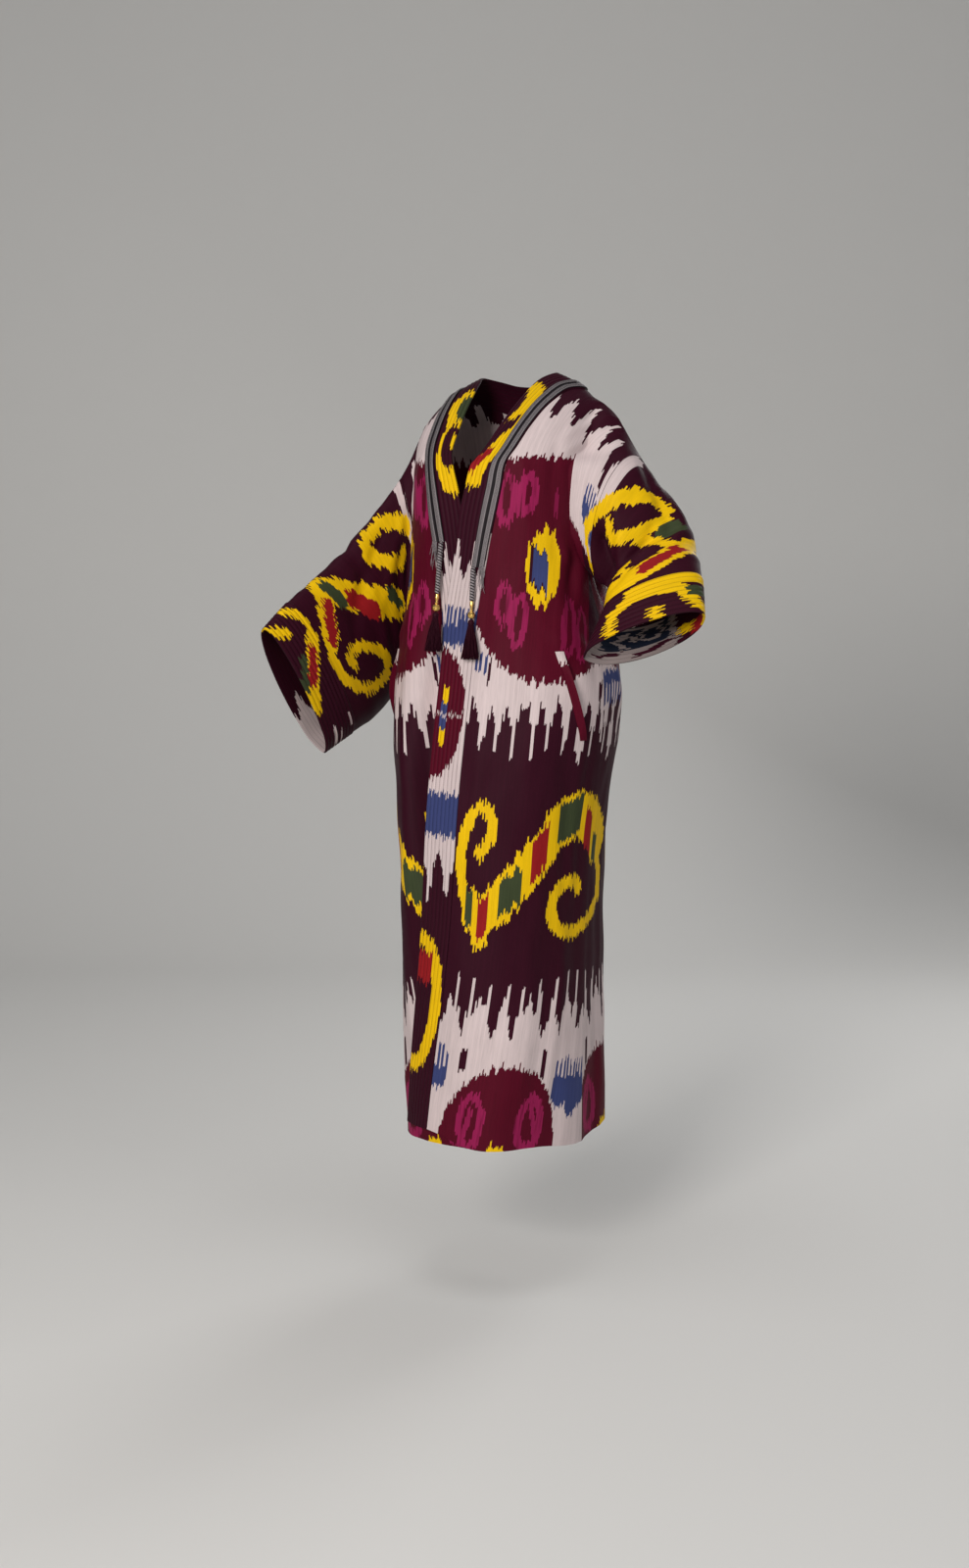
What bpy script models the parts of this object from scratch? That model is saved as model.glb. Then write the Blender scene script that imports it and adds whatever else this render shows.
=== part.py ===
"""Open-fronted ikat coat worn on the body: long panels that fold over the shoulders, wide
sleeves with quilted cuffs, a quilted band round the neck and down both fronts, metal braid
with tassels, and slanted pockets.

Metres, +Z up. The coat faces -Y and the wearer's left is +X. The origin lies between the
shoulders, level with the ends of the shoulder lines' neck side.
"""

import collections
import math

import bmesh
import bpy
import mathutils
import numpy as np

# Driving sizes
HEM_Z = -1.262
UNDERARM_Z = -0.30
CHEST_Z = -0.13
SHOULDER_Y = 0.042
ROUNDNESS = 2.3

CLOTH = 0.0015
QUILT_WALL = 0.0022
QUILT_RAISE = 0.0013
SEAM = 0.0003
LAP_DEPTH = 0.0068
CORNER_RISE, CORNER_REACH, CORNER_FROM_Z = 0.023, 0.160, -0.95
SIDE_DROP, SIDE_REACH = 0.014, 0.13

BAND_WIDTH = 0.062
BAND_CHANNELS = 8
CUFF_CHANNELS = 9
BRAID_FROM, BRAID_TO = 0.038, 0.0605
BRAID_THICK = 0.0012
BRAID_RIDGE = 0.0011

# The body's section at each height: half width, depth in front and behind
BODY = [
    # z     width  front  back
    (-1.262, 0.155, 0.191, 0.176),
    (-1.100, 0.156, 0.189, 0.170),
    (-0.930, 0.159, 0.187, 0.164),
    (-0.720, 0.171, 0.186, 0.160),
    (-0.570, 0.190, 0.172, 0.170),
    (-0.480, 0.191, 0.156, 0.178),
    (-0.400, 0.178, 0.147, 0.168),
    (-0.300, 0.162, 0.142, 0.150),
    (-0.250, 0.159, 0.141, 0.148),
    (-0.190, 0.157, 0.139, 0.146),
    (-0.130, 0.157, 0.134, 0.142),
]

# Distances out from the middle: front edge, band seam, and the side or armhole
FRONT = [
    # z     edge    seam   side
    (-1.262, -0.092, None, None),
    (-1.139, -0.079, None, None),
    (-1.050, -0.068, None, None),
    (-0.900, -0.051, None, None),
    (-0.800, -0.043, None, None),
    (-0.683, -0.037, None, None),
    (-0.588, -0.032, None, None),
    (-0.448, -0.029, None, None),
    (-0.374, -0.025, None, None),
    (-0.280, -0.009, 0.052, 0.158),
    (-0.210, 0.000, 0.066, 0.152),
    (-0.170, 0.009, 0.073, 0.151),
    (-0.130, 0.020, 0.079, 0.152),
]

# The shoulder line: distance out, height
SHOULDER = [
    # x     z
    (0.000, 0.032),
    (0.070, 0.027),
    (0.110, 0.009),
    (0.150, -0.018),
    (0.180, -0.040),
    (0.200, -0.062),
]
NECK_EDGE_X, NECK_SEAM_X, ARMHOLE_TOP_X = 0.072, 0.130, 0.194
NECK_BACK_TURN, SEAM_BACK_TURN = math.radians(28), math.radians(56)

# Soft folds of the skirt: angle from the front, where they start, half width, depth at the hem
FOLDS = [
    # degrees z      width  depth
    (28, -0.60, 9, 0.0040),
    (52, -0.75, 8, -0.0050),
    (104, -0.35, 10, -0.0090),
    (124, -0.45, 10, 0.0080),
    (146, -0.40, 9, -0.0080),
    (166, -0.55, 8, 0.0070),
]

# Sleeve rings: the upper fold, the lower fold, how far the cloth swells before and behind,
# and how far the front swell leans along the sleeve
LEFT_SLEEVE = [
    # upper fold              lower fold               front  back   lean
    ((0.234, 0.062, -0.132), (0.178, -0.003, -0.317), 0.080, 0.060, -0.92),
    ((0.271, 0.075, -0.186), (0.198, -0.006, -0.326), 0.060, 0.066, -0.20),
    ((0.311, 0.080, -0.243), (0.212, -0.020, -0.332), 0.040, 0.074, 0.00),
    ((0.337, 0.050, -0.285), (0.224, -0.046, -0.348), 0.046, 0.060, 0.00),
    ((0.364, 0.012, -0.318), (0.231, -0.072, -0.378), 0.036, 0.052, 0.00),
    ((0.396, -0.045, -0.376), (0.216, -0.104, -0.446), 0.030, 0.050, 0.00),
]
RIGHT_SLEEVE = [
    ((-0.208, -0.012, -0.140), (-0.180, 0.008, -0.345), 0.024, 0.055, 0.00),
    ((-0.232, -0.080, -0.220), (-0.204, 0.016, -0.425), 0.028, 0.050, 0.00),
    ((-0.250, -0.155, -0.290), (-0.230, 0.010, -0.496), 0.032, 0.042, 0.00),
    ((-0.256, -0.215, -0.328), (-0.240, -0.045, -0.552), 0.032, 0.036, 0.00),
    ((-0.257, -0.268, -0.358), (-0.247, -0.112, -0.582), 0.030, 0.030, 0.00),
    ((-0.259, -0.330, -0.402), (-0.250, -0.187, -0.612), 0.024, 0.028, 0.00),
]
PANEL_END = 1.0
CUFF_START = 5.0
SLEEVE_END = 6.0

# Pockets: where the slit starts and ends, and how far it gapes
POCKET_TOP = (math.radians(63), -0.437)
POCKET_FOOT = (math.radians(76), -0.583)
POCKET_GAPE = {"left": 0.013, "right": 0.010}
LIP_FORWARD = 0.62
WELT_WIDTH = 0.014
BAG_DEPTH = 0.013

# Drops at the ends of the braid: lengths of the cord and the tassel
DROPS = {
    # side   cord   tassel
    "left": (0.055, 0.058),
    "right": (0.086, 0.058),
}
CORD_RADIUS = 0.0042
DROP_CLEAR = 0.013
DROP_SHIFT = 0.003
BEADS_RUN = 0.032
TASSEL_HEAD = 0.0086
TASSEL_STRANDS = 6
TASSEL_SIZE = (0.013, 0.010, 0.008)
TASSEL_FAN = (3.3, 1.9)
BEAD_PROFILE = [
    # radius  down
    (0.0000, 0.0000),
    (0.0030, 0.0000),
    (0.0034, 0.0060),
    (0.0020, 0.0120),
    (0.0030, 0.0140),
    (0.0018, 0.0162),
    (0.0045, 0.0180),
    (0.0064, 0.0225),
    (0.0045, 0.0270),
    (0.0020, 0.0290),
    (0.0000, 0.0290),
]

# How finely the walls are divided
BAND_SPLITS = np.linspace(0.0, 1.0, 2 * BAND_CHANNELS + 1)
PANEL_SPLITS = np.linspace(0.0, 1.0, 11)
SLIT_COLUMN = 7
SLIT_FRACTION = PANEL_SPLITS[SLIT_COLUMN]
SLIT_ROWS, ARM_ROWS = 4, 4
POCKET_ROW = 9
FIRST_LOOP = 16
FRONT_LOOP = 10
BRAID_ROW = {"left": 16, "right": 17}
PANEL_WIDTH = 0.25
SEAM_CHEST_X = 0.079
SEAM_TABLE_Z = -0.28
SEAM_SHARE = 0.012
YOKE_RINGS, SLEEVE_RINGS = 4, 11


def principled(name, colour, roughness, metallic=0.0):
    material = bpy.data.materials.new(name)
    material.use_nodes = True
    shader = material.node_tree.nodes["Principled BSDF"]
    shader.inputs["Base Color"].default_value = (*colour, 1.0)
    shader.inputs["Roughness"].default_value = roughness
    shader.inputs["Metallic"].default_value = metallic
    return material


def smooth(rows, at, column):
    """A soft curve through one column of a table, keyed by its first column."""
    rows = sorted(row for row in rows if row[column] is not None)
    keys = np.array([row[0] for row in rows], float)
    values = np.array([row[column] for row in rows], float)
    slopes = np.gradient(values, keys)
    at = np.clip(at, keys[0], keys[-1])
    i = np.clip(np.searchsorted(keys, at, side="right") - 1, 0, len(keys) - 2)
    span = keys[i + 1] - keys[i]
    t = (at - keys[i]) / span
    return (
        (2 * t**3 - 3 * t**2 + 1) * values[i]
        + (t**3 - 2 * t**2 + t) * span * slopes[i]
        + (3 * t**2 - 2 * t**3) * values[i + 1]
        + (t**3 - t**2) * span * slopes[i + 1]
    )


def step(low, high, at):
    t = np.clip((at - low) / (high - low), 0.0, 1.0)
    return t * t * (3 - 2 * t)


def unit(vectors):
    return vectors / np.maximum(np.linalg.norm(vectors, axis=-1, keepdims=True), 1e-12)


def facing(points, centres, down=None, across=None):
    """Unit normals of a grid of points, turned away from the given centres.

    Down and across say how far apart its rows and columns are, where that is uneven.
    """
    down = np.arange(points.shape[0]) if down is None else down
    across = np.arange(points.shape[1]) if across is None else across
    normals = unit(np.cross(np.gradient(points, down, axis=0), np.gradient(points, across, axis=1)))
    if (normals * (points - centres)).sum() < 0:
        normals = -normals
    return normals


class Wall:
    """A cloth wall: inner and outer points, cells between them, and its open edges closed."""

    def __init__(self):
        self.inner, self.outer, self.cells = [], [], []

    def add(self, inner, outer):
        first = len(self.inner)
        self.inner.extend(inner.reshape(-1, 3))
        self.outer.extend(outer.reshape(-1, 3))
        return np.arange(first, len(self.inner)).reshape(inner.shape[:-1])

    def fill(self, ids):
        for j in range(ids.shape[0] - 1):
            for i in range(ids.shape[1] - 1):
                self.cells.append((ids[j, i], ids[j, i + 1], ids[j + 1, i + 1], ids[j + 1, i]))

    def make(self, name, material):
        count = len(self.inner)
        faces = []
        for a, b, c, d in self.cells:
            for corners in ((a, b, c), (a, c, d)):
                faces.append(tuple(int(k) + count for k in corners))
                faces.append(tuple(int(k) for k in reversed(corners)))
        sides = [
            (int(min(a, b)), int(max(a, b)))
            for cell in self.cells
            for a, b in zip(cell, cell[1:] + cell[:1])
        ]
        for (a, b), uses in sorted(collections.Counter(sides).items()):
            if uses == 1:
                faces.append((b + count, a + count, a, b))
        mesh = bpy.data.meshes.new(name)
        mesh.from_pydata([tuple(p) for p in self.inner + self.outer], [], faces)
        return add_object(name, mesh, material)


def add_object(name, mesh, material):
    work = bmesh.new()
    work.from_mesh(mesh)
    loose = [v for v in work.verts if not v.link_faces]
    bmesh.ops.delete(work, geom=loose, context="VERTS")
    bmesh.ops.recalc_face_normals(work, faces=work.faces)
    work.to_mesh(mesh)
    work.free()
    mesh.materials.append(material)
    mesh.shade_smooth()
    mesh.set_sharp_from_angle(angle=math.radians(50))
    thing = bpy.data.objects.new(name, mesh)
    coat.objects.link(thing)
    return thing


def plain_wall(name, inner, outer, material):
    wall = Wall()
    wall.fill(wall.add(inner, outer))
    return wall.make(name, material)


def closed_tube(name, inner, outer, material):
    """A tube's wall, whose last column of points is its first."""
    wall = Wall()
    ids = wall.add(inner, outer)
    ids[:, -1] = ids[:, 0]
    wall.fill(ids)
    return wall.make(name, material)


def section_radius(z, angle):
    """The body's radius at a height, at an angle from the front, with its soft folds."""
    depth = np.where(np.abs(angle) < math.pi / 2, smooth(BODY, z, 2), smooth(BODY, z, 3))
    width = smooth(BODY, z, 1)
    radius = (
        np.abs(np.sin(angle) / width) ** ROUNDNESS + np.abs(np.cos(angle) / depth) ** ROUNDNESS
    ) ** (-1 / ROUNDNESS)
    for degrees, start, spread, amount in FOLDS:
        away = (np.degrees(angle) - degrees) / spread
        radius = radius + amount * np.exp(-(away**2)) * step(start, HEM_Z, z)
    return radius


def lap_inset(x, z):
    """How far the right front lies inside, where the left front laps over it."""
    left_edge = -np.minimum(0.0, smooth(FRONT, z, 1))
    covered = 1 - step(left_edge + 0.012, left_edge + 0.06, x)
    return LAP_DEPTH * covered * (1 - step(-0.19, -0.08, z))


def level_row(z, back, right, fractions_of_band, fractions_of_panel):
    """One level row below the chest line: points by distance along the body's section."""
    angles = np.radians(np.linspace(180, 90, 181) if back else np.linspace(-60, 90, 301))
    radius = section_radius(z, angles)
    if right and not back:
        radius = radius - lap_inset(radius * np.sin(angles), z)
    x, y = radius * np.sin(angles), -radius * np.cos(angles)
    along = np.concatenate([[0], np.cumsum(np.hypot(np.diff(x), np.diff(y)))])
    side = along[-1]
    if z > UNDERARM_Z:
        side = np.interp(smooth(FRONT, z, 3), x, along)
    if back:
        first = seam = SEAM / 2
    else:
        first = np.interp(smooth(FRONT, z, 1), x, along)
        seam = first + BAND_WIDTH
        if z > SEAM_TABLE_Z:
            seam = np.interp(smooth(FRONT, z, 2), x, along)
    spread = side - seam - SEAM
    fractions = fractions_of_panel
    if not back:
        nearness = 1 - step(0.0, 0.14, abs(z - (POCKET_TOP[1] + POCKET_FOOT[1]) / 2) - 0.073)
        share = (z - POCKET_TOP[1]) / (POCKET_FOOT[1] - POCKET_TOP[1])
        slit_angle = POCKET_TOP[0] + (POCKET_FOOT[0] - POCKET_TOP[0]) * np.clip(share, -0.5, 1.3)
        slit = (np.interp(slit_angle, angles, along) - seam - SEAM) / spread
        slit = SLIT_FRACTION + (slit - SLIT_FRACTION) * nearness
        welt = PANEL_SPLITS[SLIT_COLUMN - 1]
        welt += (slit - WELT_WIDTH / spread - welt) * nearness
        marks = [0, PANEL_SPLITS[SLIT_COLUMN - 1], SLIT_FRACTION, 1]
        fractions = np.interp(fractions, marks, [0, welt, slit, 1])
    where = seam + SEAM + spread * fractions
    heights = z - SIDE_DROP * step(CORNER_FROM_Z, HEM_Z, z) * step(SIDE_REACH, 0.0, side - where)
    if not back:
        where = np.concatenate([first + (seam - first) * fractions_of_band, where])
        rise = 0.0 if right else CORNER_RISE * step(CORNER_FROM_Z, HEM_Z, z)
        drop = np.concatenate([np.zeros(len(fractions_of_band)), z - heights])
        heights = z - drop + rise * (1 - step(BAND_WIDTH, CORNER_REACH, where - first))
    return np.stack([np.interp(where, along, x), np.interp(where, along, y), heights], 1)


def yoke_point(x, turn, back, right):
    """A point between the chest line (turn 0) and the shoulder line (turn 90 degrees)."""
    width, depth = smooth(BODY, CHEST_Z, 1), smooth(BODY, CHEST_Z, 3 if back else 2)
    chest_y = depth * (1 - np.minimum(np.abs(x) / width, 0.999) ** ROUNDNESS) ** (1 / ROUNDNESS)
    chest_y = chest_y if back else -chest_y
    bend = 1.75 + 1.5 * x if back else 1.0 + 3.8 * np.abs(x)
    rise, run = np.sin(turn) ** (2 / bend), np.maximum(np.cos(turn), 0.0) ** (2 / bend)
    top = smooth(SHOULDER, np.abs(x), 1)
    z = CHEST_Z + (top - CHEST_Z) * rise
    y = SHOULDER_Y + (chest_y - SHOULDER_Y) * run
    if right and not back:
        y = y + lap_inset(x, z) * run
    return np.stack(np.broadcast_arrays(x, y, z), -1)


def yoke_row(turn, wrap, back, right, fractions_of_band, fractions_of_panel, chest_x):
    """One row of the shoulder. Behind it the band's rows swing round the neck by the wrap angle."""
    share = turn / (math.pi / 2)
    side = chest_x[-1] + (ARMHOLE_TOP_X - chest_x[-1]) * share
    if back and wrap is not None:
        edge, seam = NECK_EDGE_X * math.cos(wrap), NECK_SEAM_X * math.cos(wrap)
        edge_turn = math.pi / 2 - NECK_BACK_TURN * math.sin(wrap)
    elif back:
        edge = seam = 0.0
        edge_turn = turn
    else:
        edge = chest_x[0] + (NECK_EDGE_X - chest_x[0]) * share
        seam = SEAM_CHEST_X + (NECK_SEAM_X - SEAM_CHEST_X) * share
        edge_turn = turn
    seam = max(seam, SEAM)
    inner = seam + SEAM
    panel = yoke_point(inner + (side - inner) * fractions_of_panel, turn, back, right)
    if back and wrap is None:
        return panel
    turns = edge_turn + (turn - edge_turn) * fractions_of_band
    across = max(edge, SEAM / 2) + (seam - max(edge, SEAM / 2)) * fractions_of_band
    band = yoke_point(across, turns, back, right)
    return np.concatenate([band, panel])


def body_middle(points):
    """Points inside the body, level with the given ones up to the chest."""
    middle = np.zeros_like(points) + [0.0, 0.02, 0.0]
    middle[..., 2] = np.minimum(points[..., 2], CHEST_Z - 0.03)
    return middle


def body_rows(side):
    """The side's rows from the front hem over the shoulder to the back hem.

    Gives the band's grid and its unit normals, then the panel's grid and its own.
    """
    right = side < 0
    low = np.concatenate([
        np.linspace(HEM_Z, POCKET_FOOT[1], 10),
        np.linspace(POCKET_FOOT[1], POCKET_TOP[1], SLIT_ROWS + 1)[1:],
        np.linspace(POCKET_TOP[1], UNDERARM_Z, 4)[1:],
        np.linspace(UNDERARM_Z, CHEST_Z, ARM_ROWS + 1)[1:],
    ])
    front_turns = np.radians([17, 34, 53, 72, 90])
    wraps = np.radians([0, 22, 45, 67, 90])
    front = [level_row(z, False, right, BAND_SPLITS, PANEL_SPLITS) for z in low]
    band_count = len(BAND_SPLITS)
    chest_x = front[-1][:, 0]
    panel_share = (chest_x[band_count:] - chest_x[band_count]) / (chest_x[-1] - chest_x[band_count])
    ends = chest_x[[0, -1]]
    for turn in front_turns:
        front.append(yoke_row(turn, None, False, right, BAND_SPLITS, panel_share, ends))
    behind = []
    for wrap in wraps[1:]:
        turn = math.pi / 2 - SEAM_BACK_TURN * math.sin(wrap)
        behind.append(yoke_row(turn, wrap, True, right, BAND_SPLITS, panel_share, ends))
    back_chest = level_row(CHEST_Z, True, right, None, PANEL_SPLITS)
    back_share = (back_chest[:, 0] - back_chest[0, 0]) / (back_chest[-1, 0] - back_chest[0, 0])
    below = [yoke_row(math.radians(17), None, True, right, None, back_share, ends)]
    below += [level_row(z, True, right, None, PANEL_SPLITS) for z in low[::-1]]
    band = np.array([row[:band_count] for row in front + behind])
    panel = np.array([row[band_count:] for row in front + behind] + below)
    both = np.array(front + behind)
    across = np.concatenate([BAND_SPLITS * BAND_WIDTH, BAND_WIDTH + SEAM + PANEL_SPLITS * PANEL_WIDTH])
    both_normals = facing(both, body_middle(both), across=across)
    panel_normals = facing(panel, body_middle(panel))
    panel_normals[: len(both) - 1] = both_normals[:-1, band_count:]
    return band, both_normals[:, :band_count], panel, panel_normals


def catmull(rings, at):
    """A soft curve through a list of rings, read at a fractional ring number."""
    k = int(min(max(math.floor(at), 0), len(rings) - 2))
    t = at - k
    before = rings[k - 1] if k > 0 else 2 * rings[0] - rings[1]
    after = rings[k + 2] if k + 2 < len(rings) else 2 * rings[-1] - rings[-2]
    a, b = rings[k], rings[k + 1]
    return 0.5 * (
        2 * a + (b - before) * t + (2 * before - 5 * a + 4 * b - after) * t**2
        + (3 * a - before - 3 * b + after) * t**3
    )


def sleeve_rings(armhole, table):
    """The armhole's ring and the sleeve's rings after it, point for point."""
    steps = np.linalg.norm(np.diff(armhole, axis=0), axis=1)
    along = np.concatenate([[0], np.cumsum(steps)])
    top = FRONT_LOOP - 1
    front = along[: top + 1] / along[top]
    back = (along[top:] - along[top]) / (along[-1] - along[top])
    middles = [armhole.mean(0)] + [(upper + lower) / 2 for upper, lower, *_ in table]
    rings = [armhole]
    for k, (upper, lower, swell_front, swell_back, lean) in enumerate(table):
        run = middles[min(k + 2, len(middles) - 1)] - middles[k]
        half = (upper - lower) / 2
        out = -unit(np.cross(half, run))
        turn_front, turn_back = math.pi * (1 - front), math.pi * back
        ring_front = (upper + lower) / 2 + np.outer(np.cos(turn_front), half)
        leaning = unit(out + lean * unit(run))
        ring_front += np.outer(np.sin(turn_front) * swell_front, leaning)
        ring_back = (upper + lower) / 2 + np.outer(np.cos(turn_back), half)
        ring_back -= np.outer(np.sin(turn_back) * swell_back, out)
        rings.append(np.concatenate([ring_front, ring_back[1:]]))
    return rings


def tube(rings, stations):
    """The sleeve's points at fractional ring numbers, with their unit normals."""
    points = np.array([catmull(rings, at) for at in stations])
    centres = points[:, :-1].mean(1, keepdims=True)
    closed = np.concatenate([points[:, -2:-1], points, points[:, 1:2]], 1)
    normals = facing(closed, np.broadcast_to(centres, closed.shape), down=stations)[:, 1:-1]
    return points, normals


def mirrored(points, side):
    """Points of the left side, or the same for the right."""
    return np.array(points) * [side, 1, 1]


def front_surface(x, z):
    """The left front's height in front of the middle plane, away from folds."""
    width, depth = smooth(BODY, z, 1), smooth(BODY, z, 2)
    return -depth * (1 - np.abs(x / width) ** ROUNDNESS) ** (1 / ROUNDNESS)


def make_side(name, side, sleeve_table):
    """All the cloth of one side of the coat. Gives the band's grid and its unit normals."""
    band, band_normals, panel, panel_normals = body_rows(side)
    loop = slice(FIRST_LOOP, FIRST_LOOP + 2 * FRONT_LOOP)
    armhole = panel[loop, -1]
    table = [(mirrored(u, side), mirrored(v, side), *rest) for u, v, *rest in sleeve_table]
    rings = sleeve_rings(armhole, table)
    stations = [
        np.linspace(0, PANEL_END, YOKE_RINGS),
        np.linspace(PANEL_END + SEAM_SHARE, CUFF_START, SLEEVE_RINGS),
        np.linspace(CUFF_START + SEAM_SHARE, SLEEVE_END, 2 * CUFF_CHANNELS + 1),
    ]
    points, normals = tube(rings, np.concatenate(stations))
    ends = np.cumsum([len(part) for part in stations])[:-1]
    yoke, sleeve, cuff = np.split(points, ends)
    yoke_normals, sleeve_normals, cuff_normals = np.split(normals, ends)
    seam_normals = unit(yoke_normals[0] + panel_normals[loop, -1])
    panel_normals[loop, -1] = seam_normals

    # Panel, with its piece round the upper arm
    wall = Wall()
    ids = wall.add(mirrored(panel, side), mirrored(panel + CLOTH * panel_normals, side))
    last = len(panel) - 1
    for j in range(FIRST_LOOP + 1):
        ids[last - j, -1] = ids[j, -1]
    arm = wall.add(mirrored(yoke[1:], side), mirrored((yoke + CLOTH * yoke_normals)[1:], side))
    arm[:, -1] = arm[:, 0]
    wall.fill(np.concatenate([ids[loop, -1][None], arm]))
    lips = ids.copy()
    slit = slice(POCKET_ROW + 1, POCKET_ROW + SLIT_ROWS)
    gape = POCKET_GAPE[name] * np.sin(np.linspace(0, math.pi, SLIT_ROWS + 1))[1:-1, None]
    forward = unit(panel[slit, SLIT_COLUMN - 1] - panel[slit, SLIT_COLUMN])
    lip = panel[slit, SLIT_COLUMN] + gape * (panel_normals[slit, SLIT_COLUMN] + LIP_FORWARD * forward)
    lips[slit, SLIT_COLUMN] = wall.add(
        mirrored(lip, side), mirrored(lip + CLOTH * panel_normals[slit, SLIT_COLUMN], side)
    )
    wall.fill(lips[:, : SLIT_COLUMN + 1])
    wall.fill(ids[:, SLIT_COLUMN:])
    wall.make(f"panel_{name}", cloth)

    # Pocket: welt on the front lip, and the bag behind the slit
    rows = slice(POCKET_ROW, POCKET_ROW + SLIT_ROWS + 1)
    welt = panel[rows, SLIT_COLUMN - 1 : SLIT_COLUMN + 1].copy()
    welt[1:-1, 1] = lip
    lift = panel_normals[rows, SLIT_COLUMN - 1 : SLIT_COLUMN + 1]
    welt += (CLOTH + SEAM) * lift
    plain_wall(f"pocket_welt_{name}", mirrored(welt, side), mirrored(welt + CLOTH * lift, side), trim)
    rows = slice(POCKET_ROW - 2, POCKET_ROW + SLIT_ROWS + 2)
    columns = slice(SLIT_COLUMN - 2, SLIT_COLUMN + 2)
    bag = panel[rows, columns]
    swell_down, swell_across = (np.sin(np.linspace(0, math.pi, count)) for count in bag.shape[:2])
    bulge = BAG_DEPTH * np.outer(swell_down, swell_across)
    bag = bag - (SEAM + bulge)[..., None] * panel_normals[rows, columns]
    under = bag - CLOTH * panel_normals[rows, columns]
    plain_wall(f"pocket_bag_{name}", mirrored(under, side), mirrored(bag, side), cloth)

    # Quilted band, and the braid on it
    channel = np.abs(np.sin(math.pi * BAND_CHANNELS * BAND_SPLITS))[None, :, None]
    crest = band + (QUILT_WALL + QUILT_RAISE * channel) * band_normals
    crest[-1, :, 0] = np.maximum(crest[-1, :, 0], SEAM / 2)
    plain_wall(f"band_{name}", mirrored(band, side), mirrored(crest, side), cloth)
    rows = slice(BRAID_ROW[name], None)
    base = band + (QUILT_WALL + QUILT_RAISE + SEAM) * band_normals
    across = np.linspace(BRAID_FROM, BRAID_TO, 9) / BAND_WIDTH
    where = np.interp(across, BAND_SPLITS, np.arange(len(BAND_SPLITS)))
    first = np.floor(where).astype(int)
    share = (where - first)[None, :, None]
    base = base[rows, first] * (1 - share) + base[rows, first + 1] * share
    lift = unit(band_normals[rows, first] * (1 - share) + band_normals[rows, first + 1] * share)
    ridges = np.sin(2 * math.pi * np.linspace(0, 1, 9)) ** 2
    top = base + (BRAID_THICK + BRAID_RIDGE * ridges[None, :, None]) * lift
    base[-1, :, 0] = np.maximum(base[-1, :, 0], SEAM / 2)
    top[-1, :, 0] = np.maximum(top[-1, :, 0], SEAM / 2)
    plain_wall(f"braid_{name}", mirrored(base, side), mirrored(top, side), metal_braid)

    # Sleeve and quilted cuff
    outer = sleeve + CLOTH * sleeve_normals
    closed_tube(f"sleeve_{name}", mirrored(sleeve, side), mirrored(outer, side), cloth)
    channel = np.abs(np.sin(math.pi * CUFF_CHANNELS * np.linspace(0, 1, len(cuff))))[:, None, None]
    crest = cuff + (QUILT_WALL + QUILT_RAISE * channel) * cuff_normals
    closed_tube(f"cuff_{name}", mirrored(cuff, side), mirrored(crest, side), cloth)
    return mirrored(band, side), mirrored(band_normals, side)


def strands(name, head, spread, length, splits, material):
    """A soft head whose underside parts into strands that hang and fan out."""
    mesh = bpy.data.meshes.new(name)
    work = bmesh.new()
    bmesh.ops.create_grid(work, x_segments=splits, y_segments=splits, size=0.5)
    under = list(work.faces)
    lid = bmesh.ops.extrude_face_region(work, geom=under)
    top = [v for v in lid["geom"] if isinstance(v, bmesh.types.BMVert)]
    for vert in top:
        reach = 1 - 0.55 * min(1.0, 2.2 * (vert.co.x**2 + vert.co.y**2))
        vert.co.z = head[2] * reach
        vert.co.x *= 0.62
        vert.co.y *= 0.62
    for vert in work.verts:
        vert.co.x *= head[0]
        vert.co.y *= head[1]
    feet = [face for face in work.faces if all(abs(v.co.z) < 1e-6 for v in face.verts)]
    bmesh.ops.inset_individual(work, faces=feet, thickness=0.0006)
    for k, face in enumerate(feet):
        drop = bmesh.ops.extrude_face_region(work, geom=[face])
        verts = [v for v in drop["geom"] if isinstance(v, bmesh.types.BMVert)]
        centre = face.calc_center_median()
        uneven = 1 - 0.06 * math.sin(2.4 * k) ** 2
        for vert in verts:
            vert.co.x += centre.x * (spread[0] - 1)
            vert.co.y += centre.y * (spread[1] - 1)
            vert.co.z -= length * uneven
        bmesh.ops.delete(work, geom=[face], context="FACES")
    work.to_mesh(mesh)
    work.free()
    return add_object(name, mesh, material)


def hang(thing, top, foot):
    """Places an object made along -Z so that it hangs from the top point towards the foot."""
    down = mathutils.Vector(foot) - mathutils.Vector(top)
    thing.rotation_euler = down.to_track_quat("-Z", "Y").to_euler()
    thing.location = top


def turned(name, profile, material):
    """A turned piece: radius and distance down, from the top, about its own axis."""
    mesh = bpy.data.meshes.new(name)
    points = [(radius, 0.0, -down) for radius, down in profile]
    mesh.from_pydata(points, [(i, i + 1) for i in range(len(points) - 1)], [])
    mesh.materials.append(material)
    thing = bpy.data.objects.new(name, mesh)
    screw = thing.modifiers.new("Turn", "SCREW")
    screw.steps = screw.render_steps = 12
    screw.use_merge_vertices = True
    screw.merge_threshold = 0.00005
    screw.use_smooth_shade = True
    coat.objects.link(thing)
    return thing


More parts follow.
